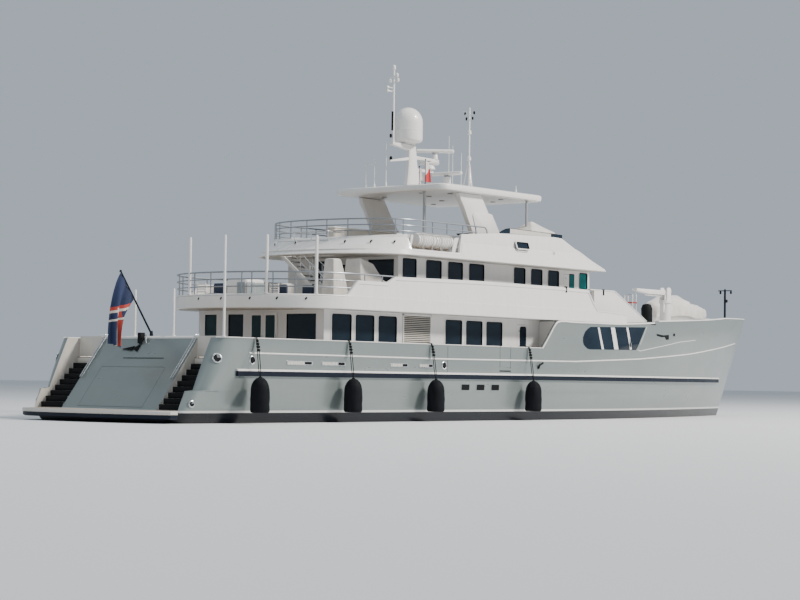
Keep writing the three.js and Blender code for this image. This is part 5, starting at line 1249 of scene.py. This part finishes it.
def build_windows():
    """Windows of both houses and the engine room's louvre."""
    panes = Shape()
    side_windows(panes, [(-15.59, -14.30, 3.3, 4.62), (-14.01, -12.75, 3.3, 4.62),
                         (-12.44, -11.17, 3.3, 4.62), (-7.60, -6.35, 3.3, 4.6), (-6.02, -4.77, 3.3, 4.6),
                         (-4.44, -3.18, 3.3, 4.6)], MAIN_HALF)
    side_windows(panes, [(-10.3, -9.3, 6.0, 7.3), (-8.58, -7.44, 6.0, 7.3), (-6.93, -5.81, 6.0, 7.3),
                         (-5.31, -4.13, 6.0, 7.3), (-1.71, -0.77, 6.0, 7.3), (-0.28, 0.67, 6.0, 7.3),
                         (1.18, 2.11, 6.0, 7.3)], UPPER_HALF, trim=0.05)
    side_windows(panes, [(3.91, 4.64, 6.5, 7.3)], UPPER_HALF, 3, trim=0.04)
    panes.mirror()
    flush = dict(r=0.04, trim=0, proud=0.006)
    end_windows(panes, [(-3.25, -1.56), (0.99, 1.89), (2.61, 3.32, 4)], MAIN_AFT, 2.75, 4.62, -PORT, **flush)
    end_windows(panes, [(-3.05, -1.55), (1.0, 1.5)], UPPER_AFT, 5.5, 7.25, -PORT, **flush)
    panes.box(-10.601, -10.5, 1.5, 3.1, 5.45, 7.3, 0)
    rake = Vector((-0.08, 0, 1)).normalized()
    end_windows(panes, [(a, b, 3) for a, b in ((-3.05, -1.6), (-1.45, 0.0), (0.15, 1.6), (1.75, 3.05))], 4.87,
                6.15, 7.15, PORT, rake, trim=0.03)
    panes.place("window_panes", [WHITE, BLACK, GLASS, TEAL, SALOON], "dark_glass", smooth=40)

    louvre = Shape()
    louvre.box(-10.74, -8.66, -3.74, -3.69, 3.36, 3.44).box(-10.74, -8.66, -3.74, -3.69, 4.7, 4.78)
    louvre.box(-10.74, -10.66, -3.74, -3.69, 3.36, 4.78).box(-8.74, -8.66, -3.74, -3.69, 3.36, 4.78)
    louvre.box(-10.66, -8.74, -3.705, -3.69, 3.44, 4.7, 2)
    for i in range(15):
        z = 3.46 + i * 0.083
        louvre.loft([[(x, -3.69, z + 0.05), (x, -3.745, z), (x, -3.745, z + 0.012), (x, -3.69, z + 0.066)]
                     for x in (-10.66, -8.74)], 1)
    louvre.mirror().place("engine_louvre", [WHITE, CREAM, BLACK], "white_paint", bevel=0.004)


def leaf(x, y0, y1, z0, z1, stile):
    """A sliding leaf: white frame of the CAD leaf's thickness round a dark pane."""
    s = Shape()
    u, w, h = Vector((0, -1, 0)), y1 - y0, z1 - z0
    middle = Vector((x, (y0 + y1) / 2, (z0 + z1) / 2))

    def ring(inset, lift, r):
        return [middle + u * a + UP * b + Vector((-lift, 0, 0))
                for a, b in rounded(w - 2 * inset, h - 2 * inset, r)]

    back, front = ring(stile, 0.012, 0.05), ring(stile, 0.035, 0.05)
    s.loft([back, ring(stile, 0.001, 0.05), ring(0.0, 0.001, 0.01), ring(0.0, 0.049, 0.01),
            ring(stile - 0.02, 0.049, 0.05), front], 0, False)
    s.add(back, [range(len(back))], 1).add(front, [range(len(front))], 1)
    s.box(x - 0.049, x - 0.046, y0 + 0.03, y0 + 0.06, (z0 + z1) / 2 - 0.15, (z0 + z1) / 2 + 0.15, 2)
    return s


def build_doors():
    """Sliding leaves, and panes, handles and hinges of the swinging doors."""
    for name, y0, y1 in (("starboard", -1.046, -0.246), ("port", -0.234, 0.566)):
        door = leaf(-16.112, y0, y1, 2.4416, 4.7, 0.13)
        door.place("saloon_leaf_" + name, [WHITE, SALOON, STEEL], "dark_glass", "saloon_door_" + name,
                   ["saloon_door_" + name])
    door = leaf(-10.612, -1.06, 0.36, 5.0516, 7.18, 0.12)
    door.place("lounge_leaf", [WHITE, GLASS, STEEL], "dark_glass", "lounge_door", ["lounge_door"])
    for name, side in SIDES:
        for body, x0, x1, half, pane in (("side_door_", -1.97, -1.15, MAIN_HALF, (-1.7, -1.22, 3.3, 4.44)),
                                         ("wheelhouse_door_", 2.55, 3.5, UPPER_HALF, (3.06, 3.46, 6.4, 7.2))):
            s = Shape()
            side_windows(s, [pane], half, 3 if half < 3.5 else 2, r=0.04 if half < 3.5 else 0.1, trim=0.0,
                         proud=0.016, sink=0.006)
            z = pane[2] - 0.25
            s.lathe([(0.035, 0), (0.035, 0.012), (0.012, 0.016), (0.012, 0.05)], (x1 - 0.09, -half, z),
                    (0, -1, 0), 12, 4)
            s.tube([(x1 - 0.09, -half - 0.045, z), (x1 - 0.22, -half - 0.045, z)], 0.011, 8, 4)
            for h in (0.35, 1.1, 1.85):
                s.box(x0 + 0.15, x0 + 0.22, -half - 0.012, -half, pane[3] - 2.1 + h, pane[3] - 2.0 + h, 4)
            if side > 0:
                s.flip()
            s.place(body + "fittings_" + name, [WHITE, BLACK, GLASS, TEAL, STEEL], "dark_glass", body + name)


def disc_fitting(s, at, out, radius):
    """A polished ring round a dark hole, as on a fairlead; the hole takes look 1."""
    ring = 0.035
    profile = [(radius + 0.02, -0.02), (radius + 0.02, 0.012), (radius, 0.03), (radius - ring * 0.5, 0.034),
               (radius - ring, 0.02), (radius - ring, 0.002)]
    s.lathe(profile, at, out, 22)
    s.looks[-1] = 1


def outward(x, z):
    """Outward direction of the starboard side."""
    a, b, c = (Vector(on_hull(x + dx, z + dz)) for dx, dz in ((0, 0), (0.05, 0), (0, 0.05)))
    n = (b - a).cross(c - a).normalized()
    return n if n.y < 0 else -n


def plate(s, outline, proud, look, back=-0.03):
    """A flat-backed plate that follows the starboard side; outline in (x, z)."""
    s.loft([[Vector(on_hull(x, z, p)) for x, z in outline] for p in (back, proud)], look)


def shifted(outline, x, z):
    return [(x + a, z + b) for a, b in outline]


def finer(points, n):
    """Every step between two points of a line cut in n; the last point is left off."""
    return [(a[0] + (b[0] - a[0]) * t / n, a[1] + (b[1] - a[1]) * t / n) for a, b in zip(points, points[1:])
            for t in range(n)]


def build_hull_side():
    """Mouldings, freeing ports, portlights and fairleads of the hull's sides."""
    line = Shape()
    xs = np.linspace(-21.9, 24.2, 70)
    height = lambda x: float(np.interp(x, [-22, -9, 1.4, 7.7, 14, 24.2], [2.83, 2.79, 2.83, 3.05, 3.4, 4.2]))
    half_round = [(0.0, -0.035), (0.022, -0.028), (0.034, 0.0), (0.022, 0.028), (0.0, 0.035), (-0.03, 0.0)]
    line.sweep([on_hull(x, height(x)) for x in xs], half_round, 0)
    strake = np.linspace(-22.6, 21.5, 60)
    strip = [(-0.05, -0.1), (0.085, -0.1), (0.1, -0.085), (0.1, 0.085), (0.09, 0.1), (-0.05, 0.1)]
    topping = [(-0.05, 0.001), (0.105, 0.001), (0.11, 0.03), (0.07, 0.075), (-0.05, 0.1)]
    for z, section, look in ((2.0, strip, 1), (2.1, topping, 0)):
        line.sweep([on_hull(x, z) for x in strake], section, look)
    line.mirror().place("side_mouldings", [WHITE, NAVY], "navy_paint",
                        replaces=["rubbing_strake_starboard", "rubbing_strake_port"], smooth=30)

    s = Shape()
    pill = lambda w, h: rounded(w, h, h / 2, 6)
    for x0, x1 in ((-19.66, -18.05), (-17.5, -15.94), (-12.94, -11.69), (-10.91, -9.9)):
        x, w = (x0 + x1) / 2, x1 - x0
        plate(s, shifted(pill(w, 0.17), x, 2.47), 0.02, 0)
        plate(s, shifted(rounded(w * 0.62, 0.11, 0.04), x - w * 0.16, 2.47), 0.026, 3)
        # The black insert at the fore end of each port is painted shade: the dark inside of the opening.
        plate(s, shifted(rounded(w * 0.26, 0.11, 0.04), x + w * 0.32, 2.47), 0.027, 1)
        for k in range(4):
            plate(s, shifted(rounded(0.02, 0.11, 0.009, 2), x - w * 0.4 + k * w * 0.15, 2.47), 0.032, 0)
    for x0, x1 in ((-7.75, -7.07), (-6.61, -5.91), (-5.45, -4.78)):
        x = (x0 + x1) / 2
        plate(s, shifted(rounded(0.68, 0.34, 0.06), x, 1.53), 0.008, 2)
        plate(s, shifted(rounded(0.6, 0.26, 0.04), x, 1.53), 0.014, 1)
    for x, z in ((-21.7, 2.55), (-9.08, 2.5)):
        disc_fitting(s, on_hull(x, z), outward(x, z), 0.17)
    disc_fitting(s, on_hull(-23.62, 2.6), outward(-23.62, 2.6), 0.19)
    disc_fitting(s, on_hull(-24.83, 0.78), outward(-24.83, 0.78), 0.13)
    for x, z0, z1 in ((-8.82, 2.2, 3.36), (-3.98, 2.2, 3.36)):
        plate(s, shifted(rounded(0.022, z1 - z0, 0.01, 2), x, (z0 + z1) / 2), 0.003, 1)
    plate(s, shifted(rounded(0.86, 0.05, 0.02, 3), -4.42, 2.3), 0.02, 1)
    ledge = [on_hull(x, 1.3) for x in np.linspace(-24.5, -23.5, 8)]
    s.sweep(ledge, [(0.0, -0.02), (0.02, -0.014), (0.02, 0.014), (0.0, 0.02)], 2)
    s.tube([on_hull(-1.74, 2.45, 0.02), on_hull(-1.74, 2.62, 0.1), on_hull(-1.5, 2.72, 0.12)], 0.05, 10, 1)
    s.mirror()
    s.place("side_fittings", [STEEL, BLACK, HULL, CREAM], "steel", smooth=30)


def glaze(s, low, high, proud, look):
    """A pane that follows the flared side between a lower and an upper edge, both in (x, z) from aft."""
    def step(line, share):
        line = np.array(line)
        run = run_along(line)
        return np.array([np.interp(share * run[-1], run, line[:, k]) for k in (0, 1)])

    grid = []
    for u in [0.02, 0.05, 0.08, *np.linspace(0.12, 1, 23)]:
        a, b = step(low, u), step(high, u)
        grid.append([a + (b - a) * v for v in np.linspace(0, 1, 7)])
    s.loft([[on_hull(x, z, proud) for x, z in row] for row in grid], look, False, False)
    rim = [row[0] for row in grid] + grid[-1][1:] + [row[-1] for row in grid[-2::-1]] + grid[0][-2:0:-1]
    s.loft([[on_hull(x, z, lift) for x, z in rim] for lift in (-0.03, proud)], look, False)


def build_bow_windows():
    """The raked windows in the bow, with the caps and mouldings round them, and a white strip along the
    knuckle that is a painted highlight.
    """
    s = Shape()
    glaze(s, [(2.04, 3.92), (2.15, 3.68), (2.4, 3.5), (2.67, 3.45), (7.15, 3.5)],
          [(2.04, 3.92), (2.13, 4.13), (2.33, 4.37), (2.69, 4.56), (8.05, 4.68)], 0.012, 1)
    for bar in (((3.36, 4.55), (3.52, 4.555), (3.94, 3.475), (3.75, 3.47)),
                ((4.56, 4.58), (4.93, 4.59), (5.31, 3.495), (4.92, 3.49)),
                ((6.05, 4.62), (6.24, 4.625), (6.66, 3.515), (6.46, 3.51))):
        plate(s, finer(bar + bar[:1], 8), 0.022, 0)
    # A white strip down the fore edge of the windows, then along the knuckle, where it is a painted
    # highlight: the knuckle's light edge drawn as a thin proud strip.
    s.sweep([on_hull(x, z) for x, z in ((8.2, 4.72), (7.9, 4.3), (7.6, 3.9), (7.35, 3.5), (7.59, 3.46),
                                        (9.0, 3.63), (10.6, 3.82), (12.29, 4.02), (14.5, 4.16))],
            [(-0.01, -0.02), (0.02, -0.015), (0.03, 0.0), (0.02, 0.015), (-0.01, 0.02)], 2)
    plate(s, [(9.3, 4.38), (10.1, 4.32), (10.75, 4.36), (10.78, 4.12), (10.45, 4.1), (10.3, 4.24),
              (9.9, 4.22), (9.35, 4.28)], 0.014, 3)
    plate(s, shifted(rounded(0.22, 0.14, 0.05), 11.43, 4.38), 0.014, 3)
    plate(s, shifted(rounded(0.5, 0.06, 0.02), 8.9, 4.86), 0.014, 3)
    rim = [on_hull(x, z) for x, z in [(-1.36, 3.44), (-1.1, 3.72), (-0.8, 4.05), (-0.5, 4.4), (-0.28, 4.62),
                                      (-0.1, 4.72), (0.15, 4.755), (0.6, 4.765)]]
    rim += [on_hull(x, sheer(x) - 0.06) for x in np.linspace(1.2, 9.0, 12)]
    s.sweep(rim, [(-0.02, -0.04), (0.03, -0.035), (0.04, 0.0), (0.03, 0.035), (-0.02, 0.04)], 2)
    top = [(x, -(hull_y(x, sheer(x)) - 0.1), sheer(x) + 0.005) for x in np.linspace(9.5, 26.2, 36)]
    s.sweep(top, [(-0.11, -0.01), (0.12, -0.01), (0.13, 0.02), (0.1, 0.05), (-0.09, 0.05), (-0.12, 0.02)], 2)
    s.mirror()
    s.place("bow_windows", [WHITE, GLASS, WHITE, BLACK], "dark_glass", smooth=30)


def cap_profile(lip=0.12):
    """Section of the cap rail; lip is how far it reaches inboard."""
    return [(-lip, -0.005), (0.1, -0.005), (0.115, 0.015), (0.1, 0.035), (0.02 - lip, 0.035), (-lip, 0.015)]


def build_stern():
    """Cap rail and gate caps, treads, rails and gear of the stern, and the bathing platform."""
    cap = Shape()
    outer = lambda x: -half_breadth(HULL_ROWS[SHEER_ROW], x)
    for x0, x1 in ((-23.42, -4.85), (-3.96, -1.34)):
        xs = [x0, x0 + 0.08, x0 + 0.2, x0 + 0.35, x0 + 0.5, *np.linspace(x0 + 0.8, x1, 26)]
        path = [(x, outer(x) + 0.08, CAP_Z) for x in xs if x <= x1]
        cap.sweep(path, cap_profile())
    cap.mirror()
    cap.loft([[(x, y, z) for x, z in ((-22.76, 3.4), (-22.76, 3.47), (-22.7, 3.5), (-22.35, 3.5),
                                      (-22.31, 3.47), (-22.31, 3.4))] for y in (-2.79, 2.79)])
    low_pole = [(0.09, 3.5), (0.09, 3.54), (0.055, 3.56), (0.05, 5.4), (0.03, 5.45)]
    tall_pole = [(0.09, 3.44), (0.09, 3.48), (0.055, 3.5), (0.05, 7.45), (0.03, 7.5)]
    for y in (-1.08, 1.18):
        cap.lathe(low_pole, (-22.5, y, 0), sides=12)
    cap.lathe(tall_pole, (-23.28, -4.66, 0), sides=12)
    cap.place("cap_rail", WHITE, "white_paint", smooth=40)
    for name, side in SIDES:
        # the inner lip stops short of the hinge, so that the open gate clears the bulwark
        gate = Shape().sweep([(x, -4.72, CAP_Z) for x in (-4.79, -4.26, -4.22, -4.03)],
                          lambda i: cap_profile((0.12, 0.12, 0.02, 0.02)[i]))
        if side > 0:
            gate.flip()
        gate.place("gate_cap_" + name, WHITE, "white_paint", "bulwark_gate_" + name, smooth=40)

    fittings = Shape()
    for side in (-1, 1):
        for i in range(RISERS):
            x, z = STAIR_X + i * GOING, STAIR_FOOT + (i + 1) * RISE
            y0, y1 = sorted((side * (TRANSOM_HALF + 0.04), side * (WING_Y - 0.04)))
            fittings.box(x - 0.015, x + GOING - 0.02, y0, y1, z - 0.005, z + 0.014, 0)
            fittings.box(x - 0.016, x - 0.002, y0, y1, z - RISE + 0.02, z - 0.006, 0)
        y0, y1 = sorted((side * (TRANSOM_HALF + 0.03), side * 4.12))
        fittings.box(-22.83, -22.77, y0, y1, 2.66, 3.5, 1)
        fittings.box(-22.98, -22.42, y0, y1, 2.352, 2.6, 1)
        fittings.box(-22.99, -22.84, y0, y1, 2.6, 2.62)
        fittings.tube([(-22.8, side * 2.82, 2.62), (-22.8, side * 2.82, 3.6)], 0.03, 8, 2)
        for y in (side * (TRANSOM_HALF - 0.05), side * (TRANSOM_HALF - 0.17)):
            run = [(transom_x(z) - 0.1, y, z) for z in np.linspace(3.5, 1.8, 8)]
            head = run[0][0]
            run = [(head + 0.14, y, 3.56), (head + 0.05, y, 3.57), *run, (transom_x(1.76) - 0.02, y, 1.76)]
            fittings.tube(run, 0.022, 8, 2)
            for z in (3.3, 2.6, 1.95):
                fittings.tube([(transom_x(z) - 0.1, y, z), (transom_x(z) + 0.02, y, z - 0.03)], 0.014, 8, 2)
    fittings.box(-22.98, -22.74, 0.33, 0.52, 3.2, 3.64, 3)
    # Black wedges under the flagstaff socket: painted shadow, the socket's cast shadow on the transom drawn
    # as a bracket plate.
    for z0, z1, y0, y1 in ((2.86, 3.2, 0.3, 0.62), (2.9, 3.08, 0.62, 1.25)):
        wedge = ((y0, z1), (y0, z0), (y1, (z0 * 2 + z1) / 3))
        fittings.loft([[(transom_x(z) - lift, y, z) for y, z in wedge] for lift in (-0.02, 0.06)], 3)
    fittings.tube([(-22.82, 0.2, 3.55), (-22.95, 0.05, 3.4), (transom_x(3.2), 0.05, 3.2)], 0.03, 8, 2)
    fittings.side([(transom_x(2.57) - 0.012, 2.57), (transom_x(2.57) + 0.01, 2.57),
                   (transom_x(2.6) + 0.01, 2.6), (transom_x(2.6) - 0.012, 2.6)], -1.45, 0.9, 3)
    fittings.place("stern_fittings", [BLACK, CREAM, STEEL, BLACK], "steel", bevel=0.004)

    platform = Shape()
    plan = [(-25.401, -4.28)]
    for i in range(25):
        y = -4.28 + 8.56 * i / 24
        corner = 0.25 if abs(y) > 4.2 else 0.06 if abs(y) > 3.85 else 0
        plan.append((-26.05 + corner - 0.55 * (1 - (y / 4.3) ** 2), y))
    plan.append((-25.401, 4.28))
    ring = lambda inset, z: [(min(x + inset, -25.401), y * (1 - inset / 4.3), z) for x, y in plan]
    platform.loft([ring(0.06, 0.17), ring(0.0, 0.2), ring(0.0, 0.34)], 2, False)
    platform.add(ring(0.06, 0.17), [range(len(plan))], 2)
    platform.loft([ring(0.0, 0.34), ring(-0.02, 0.36), ring(-0.02, 0.46), ring(0.01, 0.495),
                   ring(0.12, 0.497)], 1, False)
    platform.add(ring(0.12, 0.497), [range(len(plan))], 0)
    platform.place("bathing_platform", [TEAK, CREAM, NAVY], "teak", replaces=["swim_platform"], smooth=30)


def build_fenders():
    """Four covered fenders, each on two rope falls over the cap rail."""
    for n, x in enumerate((-21.8, -16.0, -10.3, -2.8)):
        y = -5.3
        s = Shape()
        profile = [(0.02, 0.44), (0.33, 0.44), (0.38, 0.47), (0.395, 0.55), (0.385, 0.8), (0.395, 1.0),
                   (0.385, 1.2), (0.38, 1.38), (0.345, 1.56), (0.27, 1.71), (0.17, 1.81), (0.08, 1.85),
                   (0.06, 1.88)]
        rings = []
        for r, z in finer(profile, 3) + profile[-1:]:
            ring = []
            for a in turns(36):
                pucker = 1 + 0.02 * math.sin(9 * a + n) * max(0, (z - 1.3) / 0.5)
                pucker += 0.008 * math.sin(3 * a + z * 9 + n)
                ring.append((x + r * pucker * math.cos(a), y + r * pucker * math.sin(a), z))
            rings.append(ring)
        s.loft(rings, 0)
        s.lathe([(0.045, 1.8), (0.05, 1.83), (0.03, 1.87)], (x, y, 0), sides=14, look=1)
        top = CAP_Z + 0.035
        c = x + 0.22
        for dx in (-0.07, 0.07):
            rope = [(x + dx * 0.3, y, 1.85), (x + dx * 0.9 + 0.05, y + 0.1, 2.25), (c + dx * 0.7, -4.93, 3.2),
                    (c + dx * 0.4, -4.85, top + 0.005), (c + dx * 0.4, -4.8, top + 0.018),
                    (c + dx * 0.4, -4.66, top + 0.018)]
            s.tube(rope, 0.017, 8, 1)
        for z, r in ((2.95, 0.075), (3.08, 0.08), (3.2, 0.07), (3.32, 0.06)):
            s.lathe([(0.02, -0.05), (r, -0.03), (r, 0.03), (0.02, 0.05)], (c, -4.93 + (z - 3.2) * 0.2, z),
                    (0.2, 0.1, 1), 12, 1)
        s.place("fender_cover_%d" % (n + 1), [FENDER, BLACK], "fender_black",
                replaces=["fender_%d" % (n + 1)], smooth=60)


def build_ensign():
    """The flagstaff and the ensign that hangs from it."""
    foot, head = Vector((-22.5, 0.2, 3.6)), Vector((-24.3, 0.2, 6.1))
    pole = Shape()
    pole.lathe([(0.075, 3.502), (0.075, 3.56), (0.055, 3.72)], (-22.5, 0.2, 0), sides=14)
    pole.tube([foot - (head - foot) * 0.02, head], [0.042, 0.034], 12)
    pole.lathe([(0.0, -0.02), (0.055, 0.0), (0.055, 0.03), (0.03, 0.06), (0.0, 0.07)], head, head - foot, 12)
    pole.place("flag_pole", NAVY, "navy_paint", replaces=["flagstaff"])
    rows, columns = 30, 56
    top, low = foot.lerp(head, 0.975), foot.lerp(head, 0.55)
    grid = []
    for i in range(rows + 1):
        s = i / rows
        hoist = low.lerp(top, s)
        # each thread leaves the staff, turns down and falls in pleats that close towards the fly
        for j in range(columns + 1):
            t = j / columns
            fall = 2.35 * t
            gather = 1 - math.exp(-t * 3.2)
            heart = Vector((-24.2 - 0.28 * math.sin(t * 1.7), 0.2, 0))
            x = hoist.x - 0.045 + (heart.x - 0.62 * (s - 0.45) - hoist.x) * gather
            y = 0.2 + (0.02 + 0.11 * gather) * math.sin(s * 13 + 1.2 + t * 1.6)
            y += 0.04 * gather * math.sin(s * 27 + t * 4)
            x += 0.07 * gather * math.sin(s * 15 + 2.8 + t * 1.1)
            z = hoist.z - fall * (0.9 + 0.12 * t) * (1 - 0.06 * (1 - s))
            z += 0.75 * (0.35 - s) * gather * t ** 1.5
            grid.append((x, y, z))
    sheet = Shape().add(grid, [(i * (columns + 1) + j, i * (columns + 1) + j + 1,
                                (i + 1) * (columns + 1) + j + 1, (i + 1) * (columns + 1) + j)
                               for i in range(rows) for j in range(columns)])
    flag = sheet.place("ensign_cloth", ENSIGN, "ensign_cloth", replaces=["ensign"], smooth=180)


def build_underwater():
    """Propellers and rudders."""
    for name, side in SIDES:
        y = side * SHAFT_Y
        hub = Vector((-19.7, y, -1.95))
        screw = Shape().lathe([(0.02, -0.34), (0.1, -0.28), (0.14, -0.18), (0.15, 0.0), (0.14, 0.198)], hub,
                              (1, 0, 0), 24)
        for blade in range(4):
            turn = Matrix.Rotation(blade * math.pi / 2 + 0.3, 3, "X")
            rings = []
            for r, chord, pitch, sweep in ((0.1, 0.24, 58, 0.0), (0.25, 0.36, 46, 0.02),
                                           (0.42, 0.44, 36, 0.03), (0.58, 0.42, 29, 0.0),
                                           (0.7, 0.3, 25, -0.05), (0.765, 0.12, 23, -0.1)):
                a, ring = math.radians(pitch) * side, []
                for t in np.linspace(0, 2 * math.pi, 13)[:-1]:
                    u, v = chord / 2 * math.cos(t), 0.028 * (1 - r * 0.8) * math.sin(t)
                    point = Vector((u * math.sin(a) + v * math.cos(a),
                                    u * math.cos(a) - v * math.sin(a) + sweep, r))
                    ring.append(turn @ point + hub)
                rings.append(ring)
            screw.loft(rings)
        screw.place("screw_" + name, BRONZE, "bronze", "propeller_" + name, ["propeller_" + name], smooth=50)
        rudder = Shape()
        rings = []
        for z, x0, x1, w in ((-2.6, -22.02, -20.97, 0.05), (-2.56, -22.05, -20.95, 0.08),
                             (-1.7, -22.0, -20.95, 0.1), (-1.0, -21.96, -20.95, 0.11),
                             (-0.95, -21.94, -20.97, 0.08)):
            chord = [(1, 0), (0.93, 0.5), (0.8, 0.9), (0.65, 1), (0.4, 0.75), (0.15, 0.3), (0, 0.08)]
            half = [(x0 + (x1 - x0) * a, w * b) for a, b in chord]
            rings.append([(a, y + b, z) for a, b in half] + [(a, y - b, z) for a, b in half[:0:-1]])
        rudder.loft(rings)
        rudder.lathe([(0.1, -1.1), (0.1, 0.098)], (STOCK_X, y, 0), sides=18)
        rudder.place("rudder_blade_" + name, STEEL, "steel", "rudder_" + name, ["rudder_" + name], smooth=50)


def dress_kept_nodes():
    """Carried-over nodes whose shape is right get the scene's finishes."""
    finishes = (
        (TEAK, "main_deck"),
        (deck_finish("upper_deck_finish", UPPER_Z), "upper_deck"),
        (deck_finish("sun_deck_finish", SUN_Z), "sun_deck"),
        (WHITE, "main_house", "upper_house", "breast_wall", "side_door_starboard", "side_door_port",
         "wheelhouse_door_starboard", "wheelhouse_door_port"),
        (GLASS, "main_glazing", "upper_glazing"),
        (HULL, "transom_door", "bulwark_gate_starboard", "bulwark_gate_port"),
    )
    for finish, *names in finishes:
        for name in names:
            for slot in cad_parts[name].material_slots:
                slot.material = finish


for build in (build_hull, build_decks, build_rails, build_hardtop, build_mast, build_stair, build_aft_deck,
              build_sun_deck, build_foredeck, build_windows, build_doors, build_hull_side, build_bow_windows,
              build_stern, build_fenders, build_ensign, build_underwater, dress_kept_nodes):
    build()

# Camera, light and floor


def look_camera():
    """The photograph's camera, as fitted to it; angles in radians, places in model metres."""
    heading, pitch, roll, place = 0.67543, 0.0376, 0.01339, (-41.960, -31.084, 0.933)
    fw = Vector((math.cos(heading) * math.cos(pitch), math.sin(heading) * math.cos(pitch), math.sin(pitch)))
    right = Vector((math.sin(heading), -math.cos(heading), 0))
    up = right.cross(fw)
    across = right * math.cos(roll) + up * math.sin(roll)
    upright = up * math.cos(roll) - right * math.sin(roll)
    data = bpy.data.cameras.new("photo_camera")
    data.sensor_width = 36
    data.lens = 94.5
    data.clip_end = 400
    camera = bpy.data.objects.new("photo_camera", data)
    FIELD.objects.link(camera)
    turn = Matrix((across, upright, -fw)).transposed().to_4x4()
    camera.matrix_world = Matrix.Translation(place) @ turn
    bpy.context.scene.camera = camera


def area_light(name, at, size, power, color=(1, 1, 1)):
    """A rectangular light that looks at the middle of the hull."""
    data = bpy.data.lights.new(name, "AREA")
    data.shape, data.size, data.size_y, data.energy, data.color = "RECTANGLE", *size, power, color
    light = bpy.data.objects.new(name, data)
    FIELD.objects.link(light)
    light.location = at
    light.rotation_euler = (Vector((0, 0, 2)) - Vector(at)).to_track_quat("-Z", "Y").to_euler()


def stage():
    """A pale floor at the waterline, a pale sky and three lights."""
    f = Finish("stage_floor")
    wide = 400
    floor = Shape().add([(-wide, -wide, 0), (wide, -wide, 0), (wide, wide, 0), (-wide, wide, 0)],
                        [(0, 1, 2, 3)])
    look = f.shade(f.blend(f.noise(0.05), (0.66, 0.67, 0.68), (0.7, 0.71, 0.72)), 0.7)
    obj = floor.place("stage_floor", look, None, None)
    world = bpy.data.worlds.new("studio")
    bpy.context.scene.world = world
    world.use_nodes = True
    back = world.node_tree.nodes["Background"]
    back.inputs["Color"].default_value = (0.70, 0.80, 0.90, 1)
    back.inputs["Strength"].default_value = 0.6
    area_light("key", (20, -50, 46), (12, 10), 76000, (1.0, 0.95, 0.89))
    area_light("fill", (-60, -6, 20), (30, 20), 2500, (0.85, 0.93, 1.0))
    area_light("top", (0, 0, 45), (50, 30), 5000)


look_camera()
stage()
